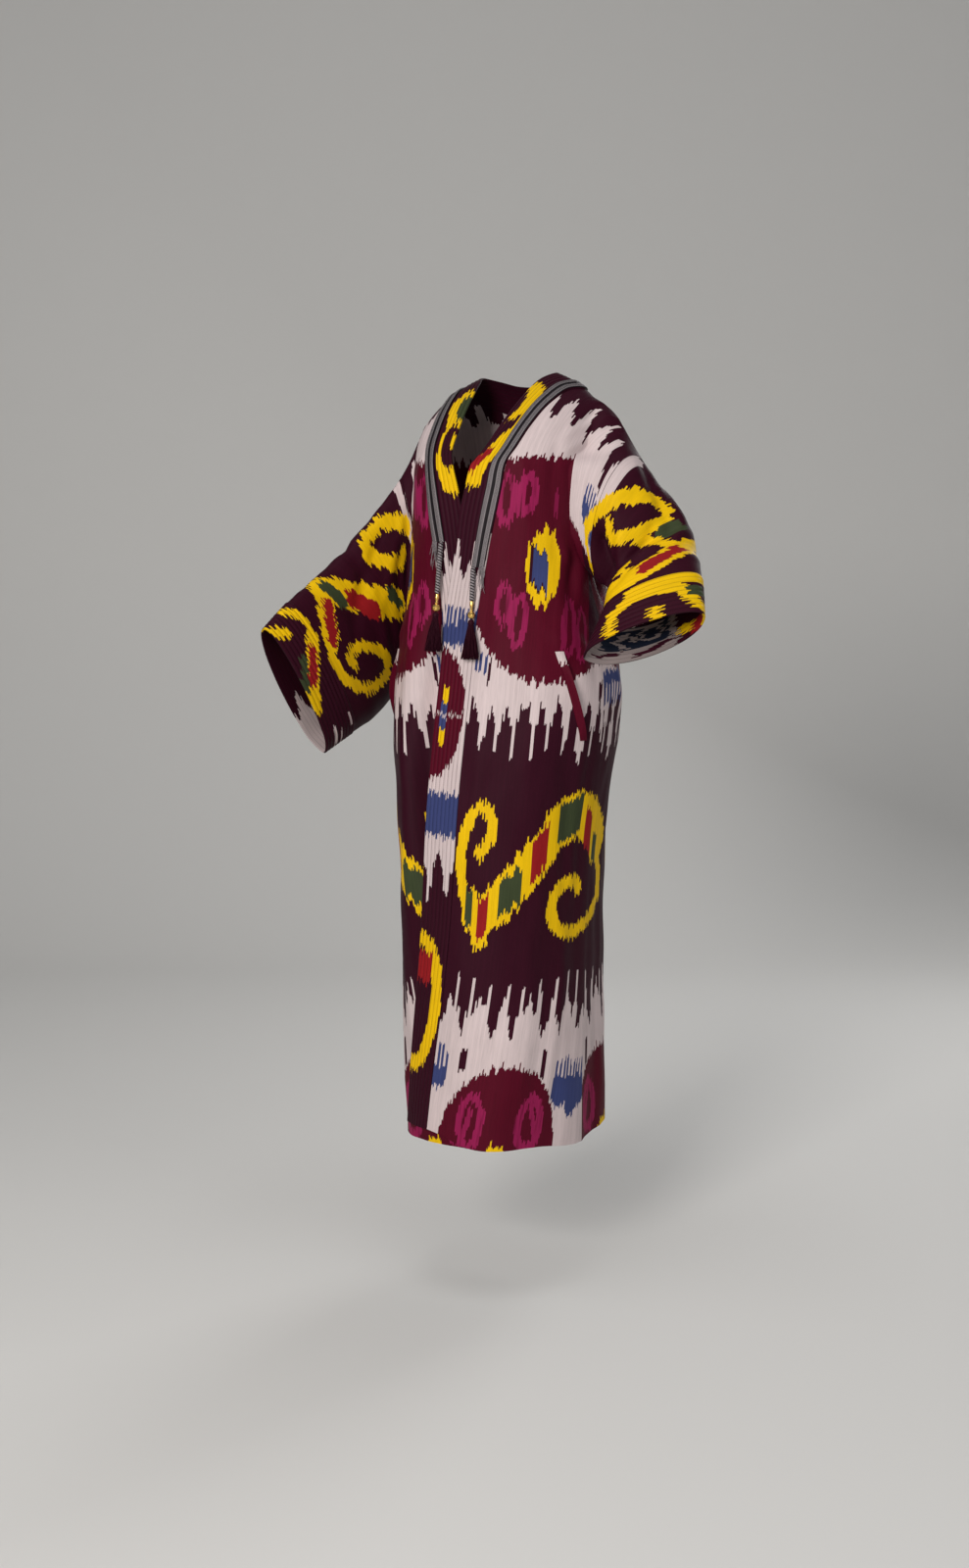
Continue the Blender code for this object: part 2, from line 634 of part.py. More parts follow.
def make_drop(name, side, band, normals):
    """A wrapped cord below the braid's inner row, gold beads and a tassel."""
    row = BRAID_ROW[name]
    column = int(round((BRAID_FROM + 0.0055) / BAND_WIDTH * 2 * BAND_CHANNELS))
    seat = QUILT_WALL + QUILT_RAISE + SEAM + CORD_RADIUS
    start = band[row, column] + seat * normals[row, column]
    cord, tassel = DROPS[name]
    total = cord + BEADS_RUN + tassel
    top = np.array([start[0], start[1], band[row, column][2] - SEAM])
    foot_z = top[2] - total
    foot_y = front_surface(abs(top[0]), foot_z) - DROP_CLEAR
    foot = np.array([top[0] + DROP_SHIFT * side, foot_y, foot_z])
    way = unit(foot - top)
    line = bpy.data.curves.new(f"cord_{name}", "CURVE")
    line.dimensions = "3D"
    line.bevel_depth = CORD_RADIUS
    line.bevel_resolution = 2
    line.use_fill_caps = True
    run = line.splines.new("POLY")
    run.points.add(2)
    for point, at in zip(run.points, (0.0, cord / 2, cord)):
        point.co = (*(way * at), 1.0)
    line.materials.append(metal_braid)
    thing = bpy.data.objects.new(f"cord_{name}", line)
    thing.location = top
    coat.objects.link(thing)
    beads = turned(f"beads_{name}", BEAD_PROFILE, gold)
    hang(beads, top + way * (cord + SEAM), foot)
    threads = strands(f"tassel_{name}", TASSEL_SIZE, TASSEL_FAN, tassel, TASSEL_STRANDS, silk)
    hang(threads, top + way * (cord + BEAD_PROFILE[-1][1] + TASSEL_HEAD), foot)


for thing in list(bpy.data.objects):
    bpy.data.objects.remove(thing)
coat = bpy.data.collections.new("ikat_coat")
bpy.context.scene.collection.children.link(coat)

cloth = principled("ikat cloth", (0.05, 0.012, 0.025), 0.6)
trim = principled("dark red cloth", (0.1, 0.01, 0.03), 0.6)
metal_braid = principled("silver and black braid", (0.25, 0.24, 0.25), 0.45, 0.4)
gold = principled("gold beads", (0.7, 0.45, 0.12), 0.25, 1.0)
silk = principled("tassel threads", (0.03, 0.006, 0.015), 0.5)

for name, side, table in (("left", 1, LEFT_SLEEVE), ("right", -1, RIGHT_SLEEVE)):
    band, normals = make_side(name, side, table)
    make_drop(name, side, band, normals)
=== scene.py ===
"""Looks of the ikat coat: fine cloth shells on the solids' forms, with quilting, creases,
a procedural ikat, plaited braid, beads and tassels, lit like a plain studio."""

import math

import bmesh
import bpy
import numpy as np
from mathutils import Matrix, Vector


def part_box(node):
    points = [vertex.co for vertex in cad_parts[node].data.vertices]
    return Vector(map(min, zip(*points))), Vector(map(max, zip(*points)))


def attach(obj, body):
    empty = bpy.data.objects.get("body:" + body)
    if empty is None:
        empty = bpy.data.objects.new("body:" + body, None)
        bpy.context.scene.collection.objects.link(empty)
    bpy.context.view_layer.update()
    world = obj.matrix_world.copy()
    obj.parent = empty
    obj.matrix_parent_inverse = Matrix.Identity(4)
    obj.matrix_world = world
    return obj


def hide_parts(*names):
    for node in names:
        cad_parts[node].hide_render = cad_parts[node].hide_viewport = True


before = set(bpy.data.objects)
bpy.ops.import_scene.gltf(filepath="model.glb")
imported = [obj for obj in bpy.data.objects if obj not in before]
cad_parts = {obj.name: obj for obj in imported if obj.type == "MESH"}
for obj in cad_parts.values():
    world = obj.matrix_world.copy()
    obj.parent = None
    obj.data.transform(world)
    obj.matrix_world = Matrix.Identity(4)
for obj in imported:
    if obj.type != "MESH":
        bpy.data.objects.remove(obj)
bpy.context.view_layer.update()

# Sizes shared with the solids
HEM_Z = -1.262
UNDERARM_Z = -0.30
CHEST_Z = -0.13
SHOULDER_Y = 0.042
ROUNDNESS = 2.3
CLOTH = 0.0015
QUILT_WALL = 0.0022
QUILT_RAISE = 0.0013
SEAM = 0.0003
QUILT_TOP = QUILT_WALL + QUILT_RAISE + SEAM
LAP_DEPTH, LAP_FADE, LAP_TOP = 0.0068, (0.012, 0.060), (-0.19, -0.08)
CORNER_RISE, CORNER_REACH, CORNER_FROM_Z = 0.023, 0.160, -0.95
SIDE_DROP, SIDE_REACH = 0.014, 0.13

BAND_WIDTH = 0.062
BAND_CHANNELS = 8
CUFF_CHANNELS = 9
BRAID_FROM, BRAID_TO = 0.038, 0.0605
BRAID_THICK = 0.0012
BRAID_RIDGE = 0.0011

# The body's section at each height: half width, depth in front and behind
BODY = [
    # z     width  front  back
    (-1.262, 0.155, 0.191, 0.176),
    (-1.100, 0.156, 0.189, 0.170),
    (-0.930, 0.159, 0.187, 0.164),
    (-0.720, 0.171, 0.186, 0.160),
    (-0.570, 0.190, 0.172, 0.170),
    (-0.480, 0.191, 0.156, 0.178),
    (-0.400, 0.178, 0.147, 0.168),
    (-0.300, 0.162, 0.142, 0.150),
    (-0.250, 0.159, 0.141, 0.148),
    (-0.190, 0.157, 0.139, 0.146),
    (-0.130, 0.157, 0.134, 0.142),
]

# Distances out from the middle: front edge, band seam, and the side or armhole
FRONT = [
    # z     edge    seam   side
    (-1.262, -0.092, None, None),
    (-1.139, -0.079, None, None),
    (-1.050, -0.068, None, None),
    (-0.900, -0.051, None, None),
    (-0.800, -0.043, None, None),
    (-0.683, -0.037, None, None),
    (-0.588, -0.032, None, None),
    (-0.448, -0.029, None, None),
    (-0.374, -0.025, None, None),
    (-0.280, -0.009, 0.052, 0.158),
    (-0.210, 0.000, 0.066, 0.152),
    (-0.170, 0.009, 0.073, 0.151),
    (-0.130, 0.020, 0.079, 0.152),
]

# The shoulder line: distance out, height
SHOULDER = [
    # x     z
    (0.000, 0.032),
    (0.070, 0.027),
    (0.110, 0.009),
    (0.150, -0.018),
    (0.180, -0.040),
    (0.200, -0.062),
]
NECK_EDGE_X, NECK_SEAM_X, ARMHOLE_TOP_X = 0.072, 0.130, 0.194
NECK_BACK_TURN, SEAM_BACK_TURN = math.radians(28), math.radians(56)

# How full the yoke bends over the shoulder: at the middle, and more for each metre out
YOKE_BEND_FRONT, YOKE_BEND_BACK = (1.0, 3.8), (1.75, 1.5)

# Rows of the yoke: turns from the chest to the shoulder line, and round the back of the neck
YOKE_TURNS = np.radians([17, 34, 53, 72, 90])
NECK_WRAPS = np.radians([22, 45, 67, 90])

# Soft folds of the skirt: angle from the front, where they start, half width, depth at the hem
FOLDS = [
    # degrees z      width  depth
    (28, -0.60, 9, 0.0040),
    (52, -0.75, 8, -0.0050),
    (104, -0.35, 10, -0.0090),
    (124, -0.45, 10, 0.0080),
    (146, -0.40, 9, -0.0080),
    (166, -0.55, 8, 0.0070),
]

# Sleeve rings: the upper fold, the lower fold, how far the cloth swells before and behind,
# and how far the front swell leans along the sleeve
LEFT_SLEEVE = [
    # upper fold              lower fold               front  back   lean
    ((0.234, 0.062, -0.132), (0.178, -0.003, -0.317), 0.080, 0.060, -0.92),
    ((0.271, 0.075, -0.186), (0.198, -0.006, -0.326), 0.060, 0.066, -0.20),
    ((0.311, 0.080, -0.243), (0.212, -0.020, -0.332), 0.040, 0.074, 0.00),
    ((0.337, 0.050, -0.285), (0.224, -0.046, -0.348), 0.046, 0.060, 0.00),
    ((0.364, 0.012, -0.318), (0.231, -0.072, -0.378), 0.036, 0.052, 0.00),
    ((0.396, -0.045, -0.376), (0.216, -0.104, -0.446), 0.030, 0.050, 0.00),
]
RIGHT_SLEEVE = [
    ((-0.208, -0.012, -0.140), (-0.180, 0.008, -0.345), 0.024, 0.055, 0.00),
    ((-0.232, -0.080, -0.220), (-0.204, 0.016, -0.425), 0.028, 0.050, 0.00),
    ((-0.250, -0.155, -0.290), (-0.230, 0.010, -0.496), 0.032, 0.042, 0.00),
    ((-0.256, -0.215, -0.328), (-0.240, -0.045, -0.552), 0.032, 0.036, 0.00),
    ((-0.257, -0.268, -0.358), (-0.247, -0.112, -0.582), 0.030, 0.030, 0.00),
    ((-0.259, -0.330, -0.402), (-0.250, -0.187, -0.612), 0.024, 0.028, 0.00),
]
PANEL_END = 1.0
CUFF_START = 5.0
SLEEVE_END = 6.0

# Pockets: where the slit starts and ends, and how far it gapes
POCKET_TOP = (math.radians(63), -0.437)
POCKET_FOOT = (math.radians(76), -0.583)
POCKET_GAPE = {"left": 0.013, "right": 0.010}
LIP_FORWARD = 0.62
WELT_WIDTH = 0.014

# The panel's columns follow the slit: wholly near it, not at all farther off, and how far its
# line runs on past its ends
SLIT_SHIFT, SLIT_RUN = (0.073, 0.213), (-0.5, 1.3)

# Drops at the ends of the braid: lengths of the cord and the tassel
DROPS = {
    # side   cord   tassel
    "left": (0.055, 0.058),
    "right": (0.086, 0.058),
}
CORD_RADIUS = 0.0042
DROP_CLEAR, DROP_SHIFT = 0.013, 0.003
BEAD_PROFILE = [
    # radius  down
    (0.0000, 0.0000),
    (0.0030, 0.0000),
    (0.0034, 0.0060),
    (0.0020, 0.0120),
    (0.0030, 0.0140),
    (0.0018, 0.0162),
    (0.0045, 0.0180),
    (0.0064, 0.0225),
    (0.0045, 0.0270),
    (0.0020, 0.0290),
    (0.0000, 0.0290),
]

# How finely the walls are divided
BAND_SPLITS = np.linspace(0.0, 1.0, 2 * BAND_CHANNELS + 1)
PANEL_SPLITS = np.linspace(0.0, 1.0, 11)
SLIT_COLUMN = 7
SLIT_FRACTION = PANEL_SPLITS[SLIT_COLUMN]
SLIT_ROWS, WAIST_ROWS, ARM_ROWS = 4, 3, 4
POCKET_ROW = 9
FIRST_LOOP = 16
FRONT_LOOP = 10
BRAID_ROW = {"left": 16, "right": 17}
PANEL_WIDTH = 0.25
SEAM_CHEST_X = 0.079
SEAM_TABLE_Z = -0.28
SEAM_SHARE = 0.012
MIDDLE_Y, MIDDLE_TOP_Z = 0.02, -0.16
YOKE_RINGS, SLEEVE_RINGS = 4, 11

# How finely the shells are divided, and where their folds show as sharp
FINE = 0.0062
COLUMN_STEPS, YOKE_STEPS, SLEEVE_STEPS = 6, 6, 4
CHANNEL_POINTS = 7
SLIT_FINE_COLUMN = SLIT_COLUMN * COLUMN_STEPS
WELT_COLUMN = SLIT_FINE_COLUMN - COLUMN_STEPS
SHARP_FOLD, SHARP_RING = math.radians(60), math.radians(50)

# Where the flat cloth's measures start: u at the centre back and at the panel's outer edge,
# the line up the front that the band's seam leaves, the rows where the panel changes, and the
# columns that its length is measured by
CENTRE_BACK_U = -0.054
PANEL_EDGE_U = 0.245
LINE_FOOT_X, LINE_SLOPE, LINE_Z = 0.037, 0.042, -0.374
LOW_ROWS = 21
RIDGE_ROW = 25
NECK_ROWS = 30
LEVEL_COLUMN, MIDDLE_COLUMNS = 4, slice(2, 9)
RIGHT_FRONT_SLANT, RIGHT_SLANT_FROM, RIGHT_FRONT_SHIFT = 0.10, 0.50, 0.070

# How far in from a cloth's edges its creases fade out, and the heights of its small unevenness
PANEL_FADE, SLEEVE_FADE = (0.018, 0.040), 0.020
RIPPLE_HEIGHT, DRAG_HEIGHT = 0.00038, 0.0006
RIPPLES = [
    # across, down, phase
    (37, 11, 0.3),
    (-23, 29, 1.9),
    (61, -17, 4.2),
    (13, 53, 2.7),
    (-71, 41, 5.5),
]

# Quilting: how full a channel is, how much its padding varies and in which waves (turn along
# it, shift from one channel to the next), and the pucker between its stitches
QUILT_CROWN, QUILT_UNEVEN, QUILT_WAVES = 0.75, 0.1, [(71, 2.1), (29, -1.3)]
PUCKER, PUCKER_LONG = 0.10, 0.009

# Creases sway a little from side to side and are widest in the middle
SWAY, SWAY_TURNS, SWAY_PHASE = 0.25, 9, 40
END_WIDTH, MORE_WIDTH, NARROWING = 0.75, 0.35, 2.6

# Pocket details: how the lip's pull grows towards the slit, the welt's padding, the bag's depth
# and how many coarse rows it reaches past the slit
LIP_POWER = 1.2
WELT_PUFF = 0.0006
BAG_DEPTH = 0.013
BAG_ABOVE, BAG_BELOW = 1.001, 2.001

# Braid details
BRAID_COLUMNS, BRAID_SPLITS, BRAID_FINE = 8, 32, 0.0025
BRAID_ROW_WIDTH, BRAID_ROW_MIDDLE, RIDGE_POWER = 0.01125, 0.0056, 1.1
PLAIT_RELIEF, PLAIT_LEAN, PLAIT_LONG = 0.16, 0.6, 0.0052

# Cord and beads
CORD_ACROSS = BRAID_FROM + 0.0055
CORD_CORE, CORD_RINGS, CORD_AROUND = 0.95, 260, 28
CORD_BLUNTNESS, CORD_TIP = 30, 0.05
WRAP_RELIEF, WRAP_LONG, WRAP_LEAN = 0.07, 0.0034, 2.2
BEADS_DROP = 0.032
BEAD_RINGS, BEAD_AROUND, BEAD_TIP = 150, 72, 0.0001
BEAD_SOFTENING, BEAD_BLUR = 5, 0.2
FACETS, FACET_RELIEF, FACETS_TOP, FACETS_FOOT = 12, 0.045, (0.017, 0.020), (0.028, 0.025)

# How all loose threads wave sideways: turn along a thread, and shift from one to the next
THREAD_WAVES = [(5.0, 1.7), (6.3, 2.9)]

# Tassel: its threads' spread at the head and at the foot, and its knot
TASSEL_THREADS, THREAD_SEED, THREAD_TAPER = 230, 11, 0.35
TASSEL_HEAD, TASSEL_FILL = (0.0030, 0.0028), (0.88, 0.86)
TASSEL_LIFT, TASSEL_UNEVEN = 0.001, 0.006
HEAD_BELOW_BEADS = 0.003
SILK_RADIUS, SILK_WAVE, SILK_STEPS = 0.00055, 0.0012, 14
KNOT_LONG, KNOT_RADIUS, KNOT_ROUND, KNOT_ABOVE = 0.011, 0.0052, 0.8, 0.002
KNOT_RINGS, KNOT_AROUND = 40, 24

# Loose threads where the braid's outer row stops
FRAYED_THREADS, FRAYED_ACROSS, FRAYED_REACH = 16, BRAID_TO - 0.0045, 0.0042
FRAYED_LIFT, FRAYED_TUCK, FRAYED_FORWARD = 0.0052, 0.0015, (-0.001, -0.002)
FRAYED_LEAST, FRAYED_MORE, FRAYED_SWING = 0.020, 0.026, (-0.004, 0.006)
METAL_RADIUS, METAL_WAVE, METAL_STEPS = 0.00045, 0.0022, 16

# Each piece of cloth: its slot, how it is held and what it rests on
SHEETS = {
    # piece         slot         held    rests on
    "panel": ("ikat_cloth", "hung", None),
    "pocket_welt": ("trim_cloth", "laid", "panel"),
    "pocket_bag": ("ikat_cloth", "hung", "panel"),
    "band": ("ikat_cloth", "hung", "panel"),
    "braid": ("metal_braid", "laid", "band"),
    "sleeve": ("ikat_cloth", "hung", "panel"),
    "cuff": ("ikat_cloth", "hung", "sleeve"),
}

# Where each cuff starts on the flat cloth, and how long it is
CUFF_FROM = {"left": 0.4624, "right": 0.5767}
CUFF_LONG = {"left": 0.0805, "right": 0.0769}

# Colours of the dyed threads, as linear red, green and blue
AUBERGINE = (0.0310, 0.0026, 0.0100)
DARK_RED = (0.0800, 0.0018, 0.0120)
MAGENTA = (0.2700, 0.0110, 0.0720)
YELLOW = (0.7800, 0.4750, 0.0025)
BLUE = (0.0400, 0.0520, 0.1560)
# Blue darkened as painted shade, for the left cuff's shadowed inside
SHADED_CUFF_BLUE = (0.0090, 0.0130, 0.0270)
WHITE = (0.5950, 0.4900, 0.4880)
# The left cuff's inside white: partly a duller lining, partly painted shade of the cuff's hollow
DULL_AND_SHADED_WHITE = (0.2400, 0.1950, 0.1900)
GREEN = (0.0420, 0.0540, 0.0240)
RED = (0.2700, 0.0100, 0.0130)
SILVER = (0.33, 0.295, 0.305)
BRAID_BLACK = (0.006, 0.003, 0.005)
FLOOR_COLOUR = (0.74, 0.73, 0.71)

# The dye: bundles of warp threads and how far they slip, wander and fray, the teeth's steps,
# lengths and lean, seeds of the random draws, the stripes, and the patches that took less dye
WARP_BUNDLE, BAND_BUNDLE = 0.0024, 0.0021
JAG, DRIFT, FINE_JAG, DRIFT_SCALE = 0.013, 0.0208, 0.0034, 0.31
TOOTH_STEP, TOOTH_RAGGEDNESS = 0.0050, 0.24
TOOTH_LEAST, TOOTH_MORE = 0.80, 0.30
TOOTH_MIDDLE, TOOTH_SWAY, TOOTH_SHUFFLE = 1.25, 0.5, 17.0
TOOTH_SEED, RAGGED_SEED, BUNDLE_SEED = 7.0, 3.0, 31.0
TINE_SHARE = 0.42
RING_ENDS = 1.15
PATCH_GRAIN, PATCH_STRENGTH, PATCH_LEAST = (170.0, 16.0, 0.0), 3.4, 0.60
FAINT, THREAD_SHOWS = 0.6, 0.75
SKIRT_V, HEM_V = 0.703, 1.014

# The weave: how often its noises turn in a metre, how they vary the tone, their relief, the
# stitching between channels with painted shade in its grooves, and how metal and flecks vary
STREAK_GRAIN, CLOUD_GRAIN = (1400.0, 26.0, 0.0), (9.0, 5.0, 0.0)
RIB_GRAIN, GLINT_GRAIN, STREAK_RELIEF = (160.0, 1500.0, 0.0), (2600.0, 1900.0, 0.0), 0.5
STREAK_TONE, CLOUD_TONE, BUNDLE_TONE, LEAST_TONE = 0.60, 0.30, 0.10, 0.53
WEAVE_RELIEF, BRAID_RELIEF, FLECK_RELIEF = 0.00022, 0.00035, 0.0003
STITCH_LINE, STITCH_LONG, STITCH_SWELL = 0.0009, 0.0034, 0.3
STITCH_PAINTED_SHADE, STITCH_DEPTH = 0.50, 2.2
GLINT_TONE, DIM_TONE, BRAID_METALLIC = 1.2, 0.40, 0.35
FLECK_TONE, LEAST_FLECK = 0.8, 0.6

# The braid's drawn threads: its rows' limits and ridges from the tape's middle, the length and
# lean of one thread, and the share that is black
TAPE_ROW, TAPE_RIDGE, TAPE_EDGE = (0.0030, 0.0098), 0.0064, 0.0027
TAPE_THREAD, TAPE_LEAN, TAPE_BLACK = 0.0024, 340.0, 0.52
CORD_THREAD, CORD_BLACK = 0.0046, 0.42

# The shader's sockets by their short names, and the dyed cloth's numbers for them
SOCKETS = {
    "roughness": "Roughness",
    "metallic": "Metallic",
    "specular": "Specular IOR Level",
    "sheen": "Sheen Weight",
    "sheen_roughness": "Sheen Roughness",
}
CLOTH_SHINE = {"roughness": 0.58, "specular": 0.08, "sheen": 0.015, "sheen_roughness": 0.40}

# Camera, lights and backdrop
CAMERA_TURN = 33.0
CAMERA_TILT = 5.7
CAMERA_LENS = 42.75
CAMERA_PLACE = (1.7125, -2.7035, -0.35)
LIGHTS = [
    # name     place                 size        power  colour
    ("key", (-1.7, -4.0, 0.9), (1.4, 1.6), 138, (1.0, 0.97, 0.94)),
    ("fill", (3.0, -3.0, 0.2), (2.2, 2.4), 22, (0.97, 0.98, 1.0)),
    ("top", (-0.2, -0.9, 3.0), (1.6, 1.4), 26, (1.0, 1.0, 1.0)),
    ("rim", (1.6, 2.4, 0.8), (1.2, 1.6), 30, (1.0, 1.0, 1.0)),
]
LIGHTS_AIM = (0.0, 0.0, -0.6)
WORLD_COLOUR, WORLD_STRENGTH = (0.80, 0.82, 0.84), 0.20
FLOOR_Z, FLOOR_BEFORE, FLOOR_BEHIND = -1.525, 6.0, 2.6
SWEEP_RADIUS, SWEEP_FROM, SWEEP_STEPS, BACKDROP_HIGH, BACKDROP_HALF = 1.4, 0.1, 18, 6.0, 9.0

# Creases: place on the flat cloth, direction in degrees, length, half width and height.
# Positive heights stand out
BODY_CREASES = [
    # u      v      turn   length  width   height
    (0.060, 0.210, 78.0, 0.150, 0.010, 0.0022),
    (0.115, 0.235, 84.0, 0.190, 0.013, -0.0040),
    (0.178, 0.250, 95.0, 0.290, 0.015, -0.0150),
    (0.214, 0.330, 84.0, 0.260, 0.013, 0.0050),
    (0.150, 0.330, 60.0, 0.130, 0.012, 0.0035),
    (0.200, 0.430, 35.0, 0.130, 0.012, -0.0045),
    (0.170, 0.475, 20.0, 0.130, 0.012, 0.0030),
    (0.225, 0.520, 60.0, 0.150, 0.012, -0.0040),
    (0.120, 0.700, 88.0, 0.300, 0.018, 0.0035),
    (0.190, 0.760, 84.0, 0.340, 0.016, -0.0038),
    (0.060, 0.900, 91.0, 0.380, 0.022, -0.0028),
    (0.150, 1.050, 87.0, 0.320, 0.018, 0.0040),
    (0.100, 1.180, 92.0, 0.200, 0.016, -0.0034),
    (0.210, 1.120, 90.0, 0.280, 0.015, 0.0034),
    (0.045, 1.140, 88.0, 0.220, 0.015, 0.0028),
    (0.240, 0.900, 88.0, 0.360, 0.018, -0.0035),
    (0.050, -0.230, 95.0, 0.260, 0.018, 0.0036),
    (0.120, -0.260, 82.0, 0.290, 0.015, -0.0045),
    (0.178, -0.300, 88.0, 0.260, 0.015, -0.0100),
    (0.175, -0.420, 65.0, 0.190, 0.014, 0.0040),
    (0.060, -0.520, 25.0, 0.170, 0.017, -0.0035),
    (0.150, -0.600, 60.0, 0.220, 0.015, 0.0036),
    (0.040, -0.850, 88.0, 0.440, 0.022, 0.0045),
    (0.120, -0.950, 92.0, 0.480, 0.020, -0.0045),
    (0.190, -1.050, 90.0, 0.380, 0.018, 0.0040),
]
FRONT_CREASES = {
    "left": [(0.060, 0.640, 92.0, 0.300, 0.020, -0.0030)],
    "right": [
        (0.045, 0.720, 84.5, 0.640, 0.020, -0.0300),
        (0.092, 0.700, 84.5, 0.560, 0.016, 0.0060),
    ],
}
SLEEVE_CREASES = {
    "left": [
        (0.310, 0.205, 14.0, 0.190, 0.026, -0.0260),
        (0.300, 0.040, 15.0, 0.170, 0.012, -0.0055),
        (0.330, 0.012, 30.0, 0.150, 0.010, 0.0045),
        (0.345, -0.060, 8.0, 0.140, 0.011, -0.0050),
        (0.352, 0.100, 62.0, 0.130, 0.010, -0.0055),
        (0.385, 0.075, 75.0, 0.140, 0.009, 0.0042),
        (0.412, 0.120, 70.0, 0.120, 0.010, -0.0050),
        (0.430, 0.040, 80.0, 0.100, 0.009, 0.0030),
        (0.290, 0.160, 30.0, 0.120, 0.012, -0.0060),
        (0.300, -0.120, 60.0, 0.160, 0.013, 0.0045),
        (0.370, -0.140, 75.0, 0.150, 0.012, -0.0050),
        (0.430, -0.090, 85.0, 0.120, 0.011, 0.0036),
    ],
    "right": [
        (0.290, 0.120, 40.0, 0.180, 0.013, -0.0060),
        (0.330, 0.080, 25.0, 0.160, 0.012, 0.0048),
        (0.360, 0.150, 55.0, 0.150, 0.011, -0.0050),
        (0.400, 0.060, 20.0, 0.170, 0.011, -0.0040),
        (0.405, 0.020, 75.0, 0.120, 0.011, -0.0055),
        (0.430, 0.140, 70.0, 0.140, 0.011, 0.0040),
        (0.470, 0.100, 40.0, 0.130, 0.010, -0.0034),
        (0.300, -0.120, 50.0, 0.170, 0.013, 0.0045),
        (0.380, -0.100, 70.0, 0.160, 0.013, -0.0045),
        (0.450, -0.130, 80.0, 0.140, 0.011, 0.0036),
    ],
}


def hermite(a, b, slope_a, slope_b, span, t):
    """A soft curve from a to b over a span, with the given slopes, read at t from 0 to 1."""
    ends = (2 * t**3 - 3 * t**2 + 1) * a + (3 * t**2 - 2 * t**3) * b
    return ends + (t**3 - 2 * t**2 + t) * span * slope_a + (t**3 - t**2) * span * slope_b


def smooth(rows, at, column):
    """A soft curve through one column of a table, keyed by its first column."""
    rows = sorted(row for row in rows if row[column] is not None)
    keys = np.array([row[0] for row in rows], float)
    values = np.array([row[column] for row in rows], float)
    slopes = np.gradient(values, keys)
    at = np.clip(at, keys[0], keys[-1])
    i = np.clip(np.searchsorted(keys, at, side="right") - 1, 0, len(keys) - 2)
    span = keys[i + 1] - keys[i]
    return hermite(values[i], values[i + 1], slopes[i], slopes[i + 1], span, (at - keys[i]) / span)


def step(low, high, at):
    t = np.clip((at - low) / (high - low), 0.0, 1.0)
    return t * t * (3 - 2 * t)


def unit(vectors):
    return vectors / np.maximum(np.linalg.norm(vectors, axis=-1, keepdims=True), 1e-12)


def spans(points, axis=0):
    """Mean distances from one row (axis 0) or column (axis 1) of a grid to the next."""
    steps = np.linalg.norm(np.diff(points, axis=axis), axis=-1)
    return steps if steps.ndim == 1 else steps.mean(1 - axis)


def distances(points, axis=0):
    """Mean distances along a grid's rows or columns, or along a line."""
    return np.concatenate([[0], np.cumsum(np.maximum(spans(points, axis), 1e-6))])


def mirrored(points, side):
    return np.array(points) * [side, 1, 1]


def facing(points, centres, down=None, across=None):
    """Unit normals of a grid of points, turned away from the given centres.

    Down and across say how far apart its rows and columns are, where that is uneven.
    """
    down = np.arange(points.shape[0]) if down is None else down
    across = np.arange(points.shape[1]) if across is None else across
    normals = unit(np.cross(np.gradient(points, down, axis=0), np.gradient(points, across, axis=1)))
    if (normals * (points - centres)).sum() < 0:
        normals = -normals
    return normals


def section_radius(z, angle):
    """The body's radius at a height, at an angle from the front, with its soft folds."""
    depth = np.where(np.abs(angle) < math.pi / 2, smooth(BODY, z, 2), smooth(BODY, z, 3))
    width = smooth(BODY, z, 1)
    radius = (
        np.abs(np.sin(angle) / width) ** ROUNDNESS + np.abs(np.cos(angle) / depth) ** ROUNDNESS
    ) ** (-1 / ROUNDNESS)
    for degrees, start, spread, amount in FOLDS:
        away = (np.degrees(angle) - degrees) / spread
        radius = radius + amount * np.exp(-(away**2)) * step(start, HEM_Z, z)
    return radius


def lap_inset(x, z):
    """How far the right front lies inside, where the left front laps over it."""
    left_edge = -np.minimum(0.0, smooth(FRONT, z, 1))
    covered = 1 - step(*LAP_FADE, x - left_edge)
    return LAP_DEPTH * covered * (1 - step(*LAP_TOP, z))


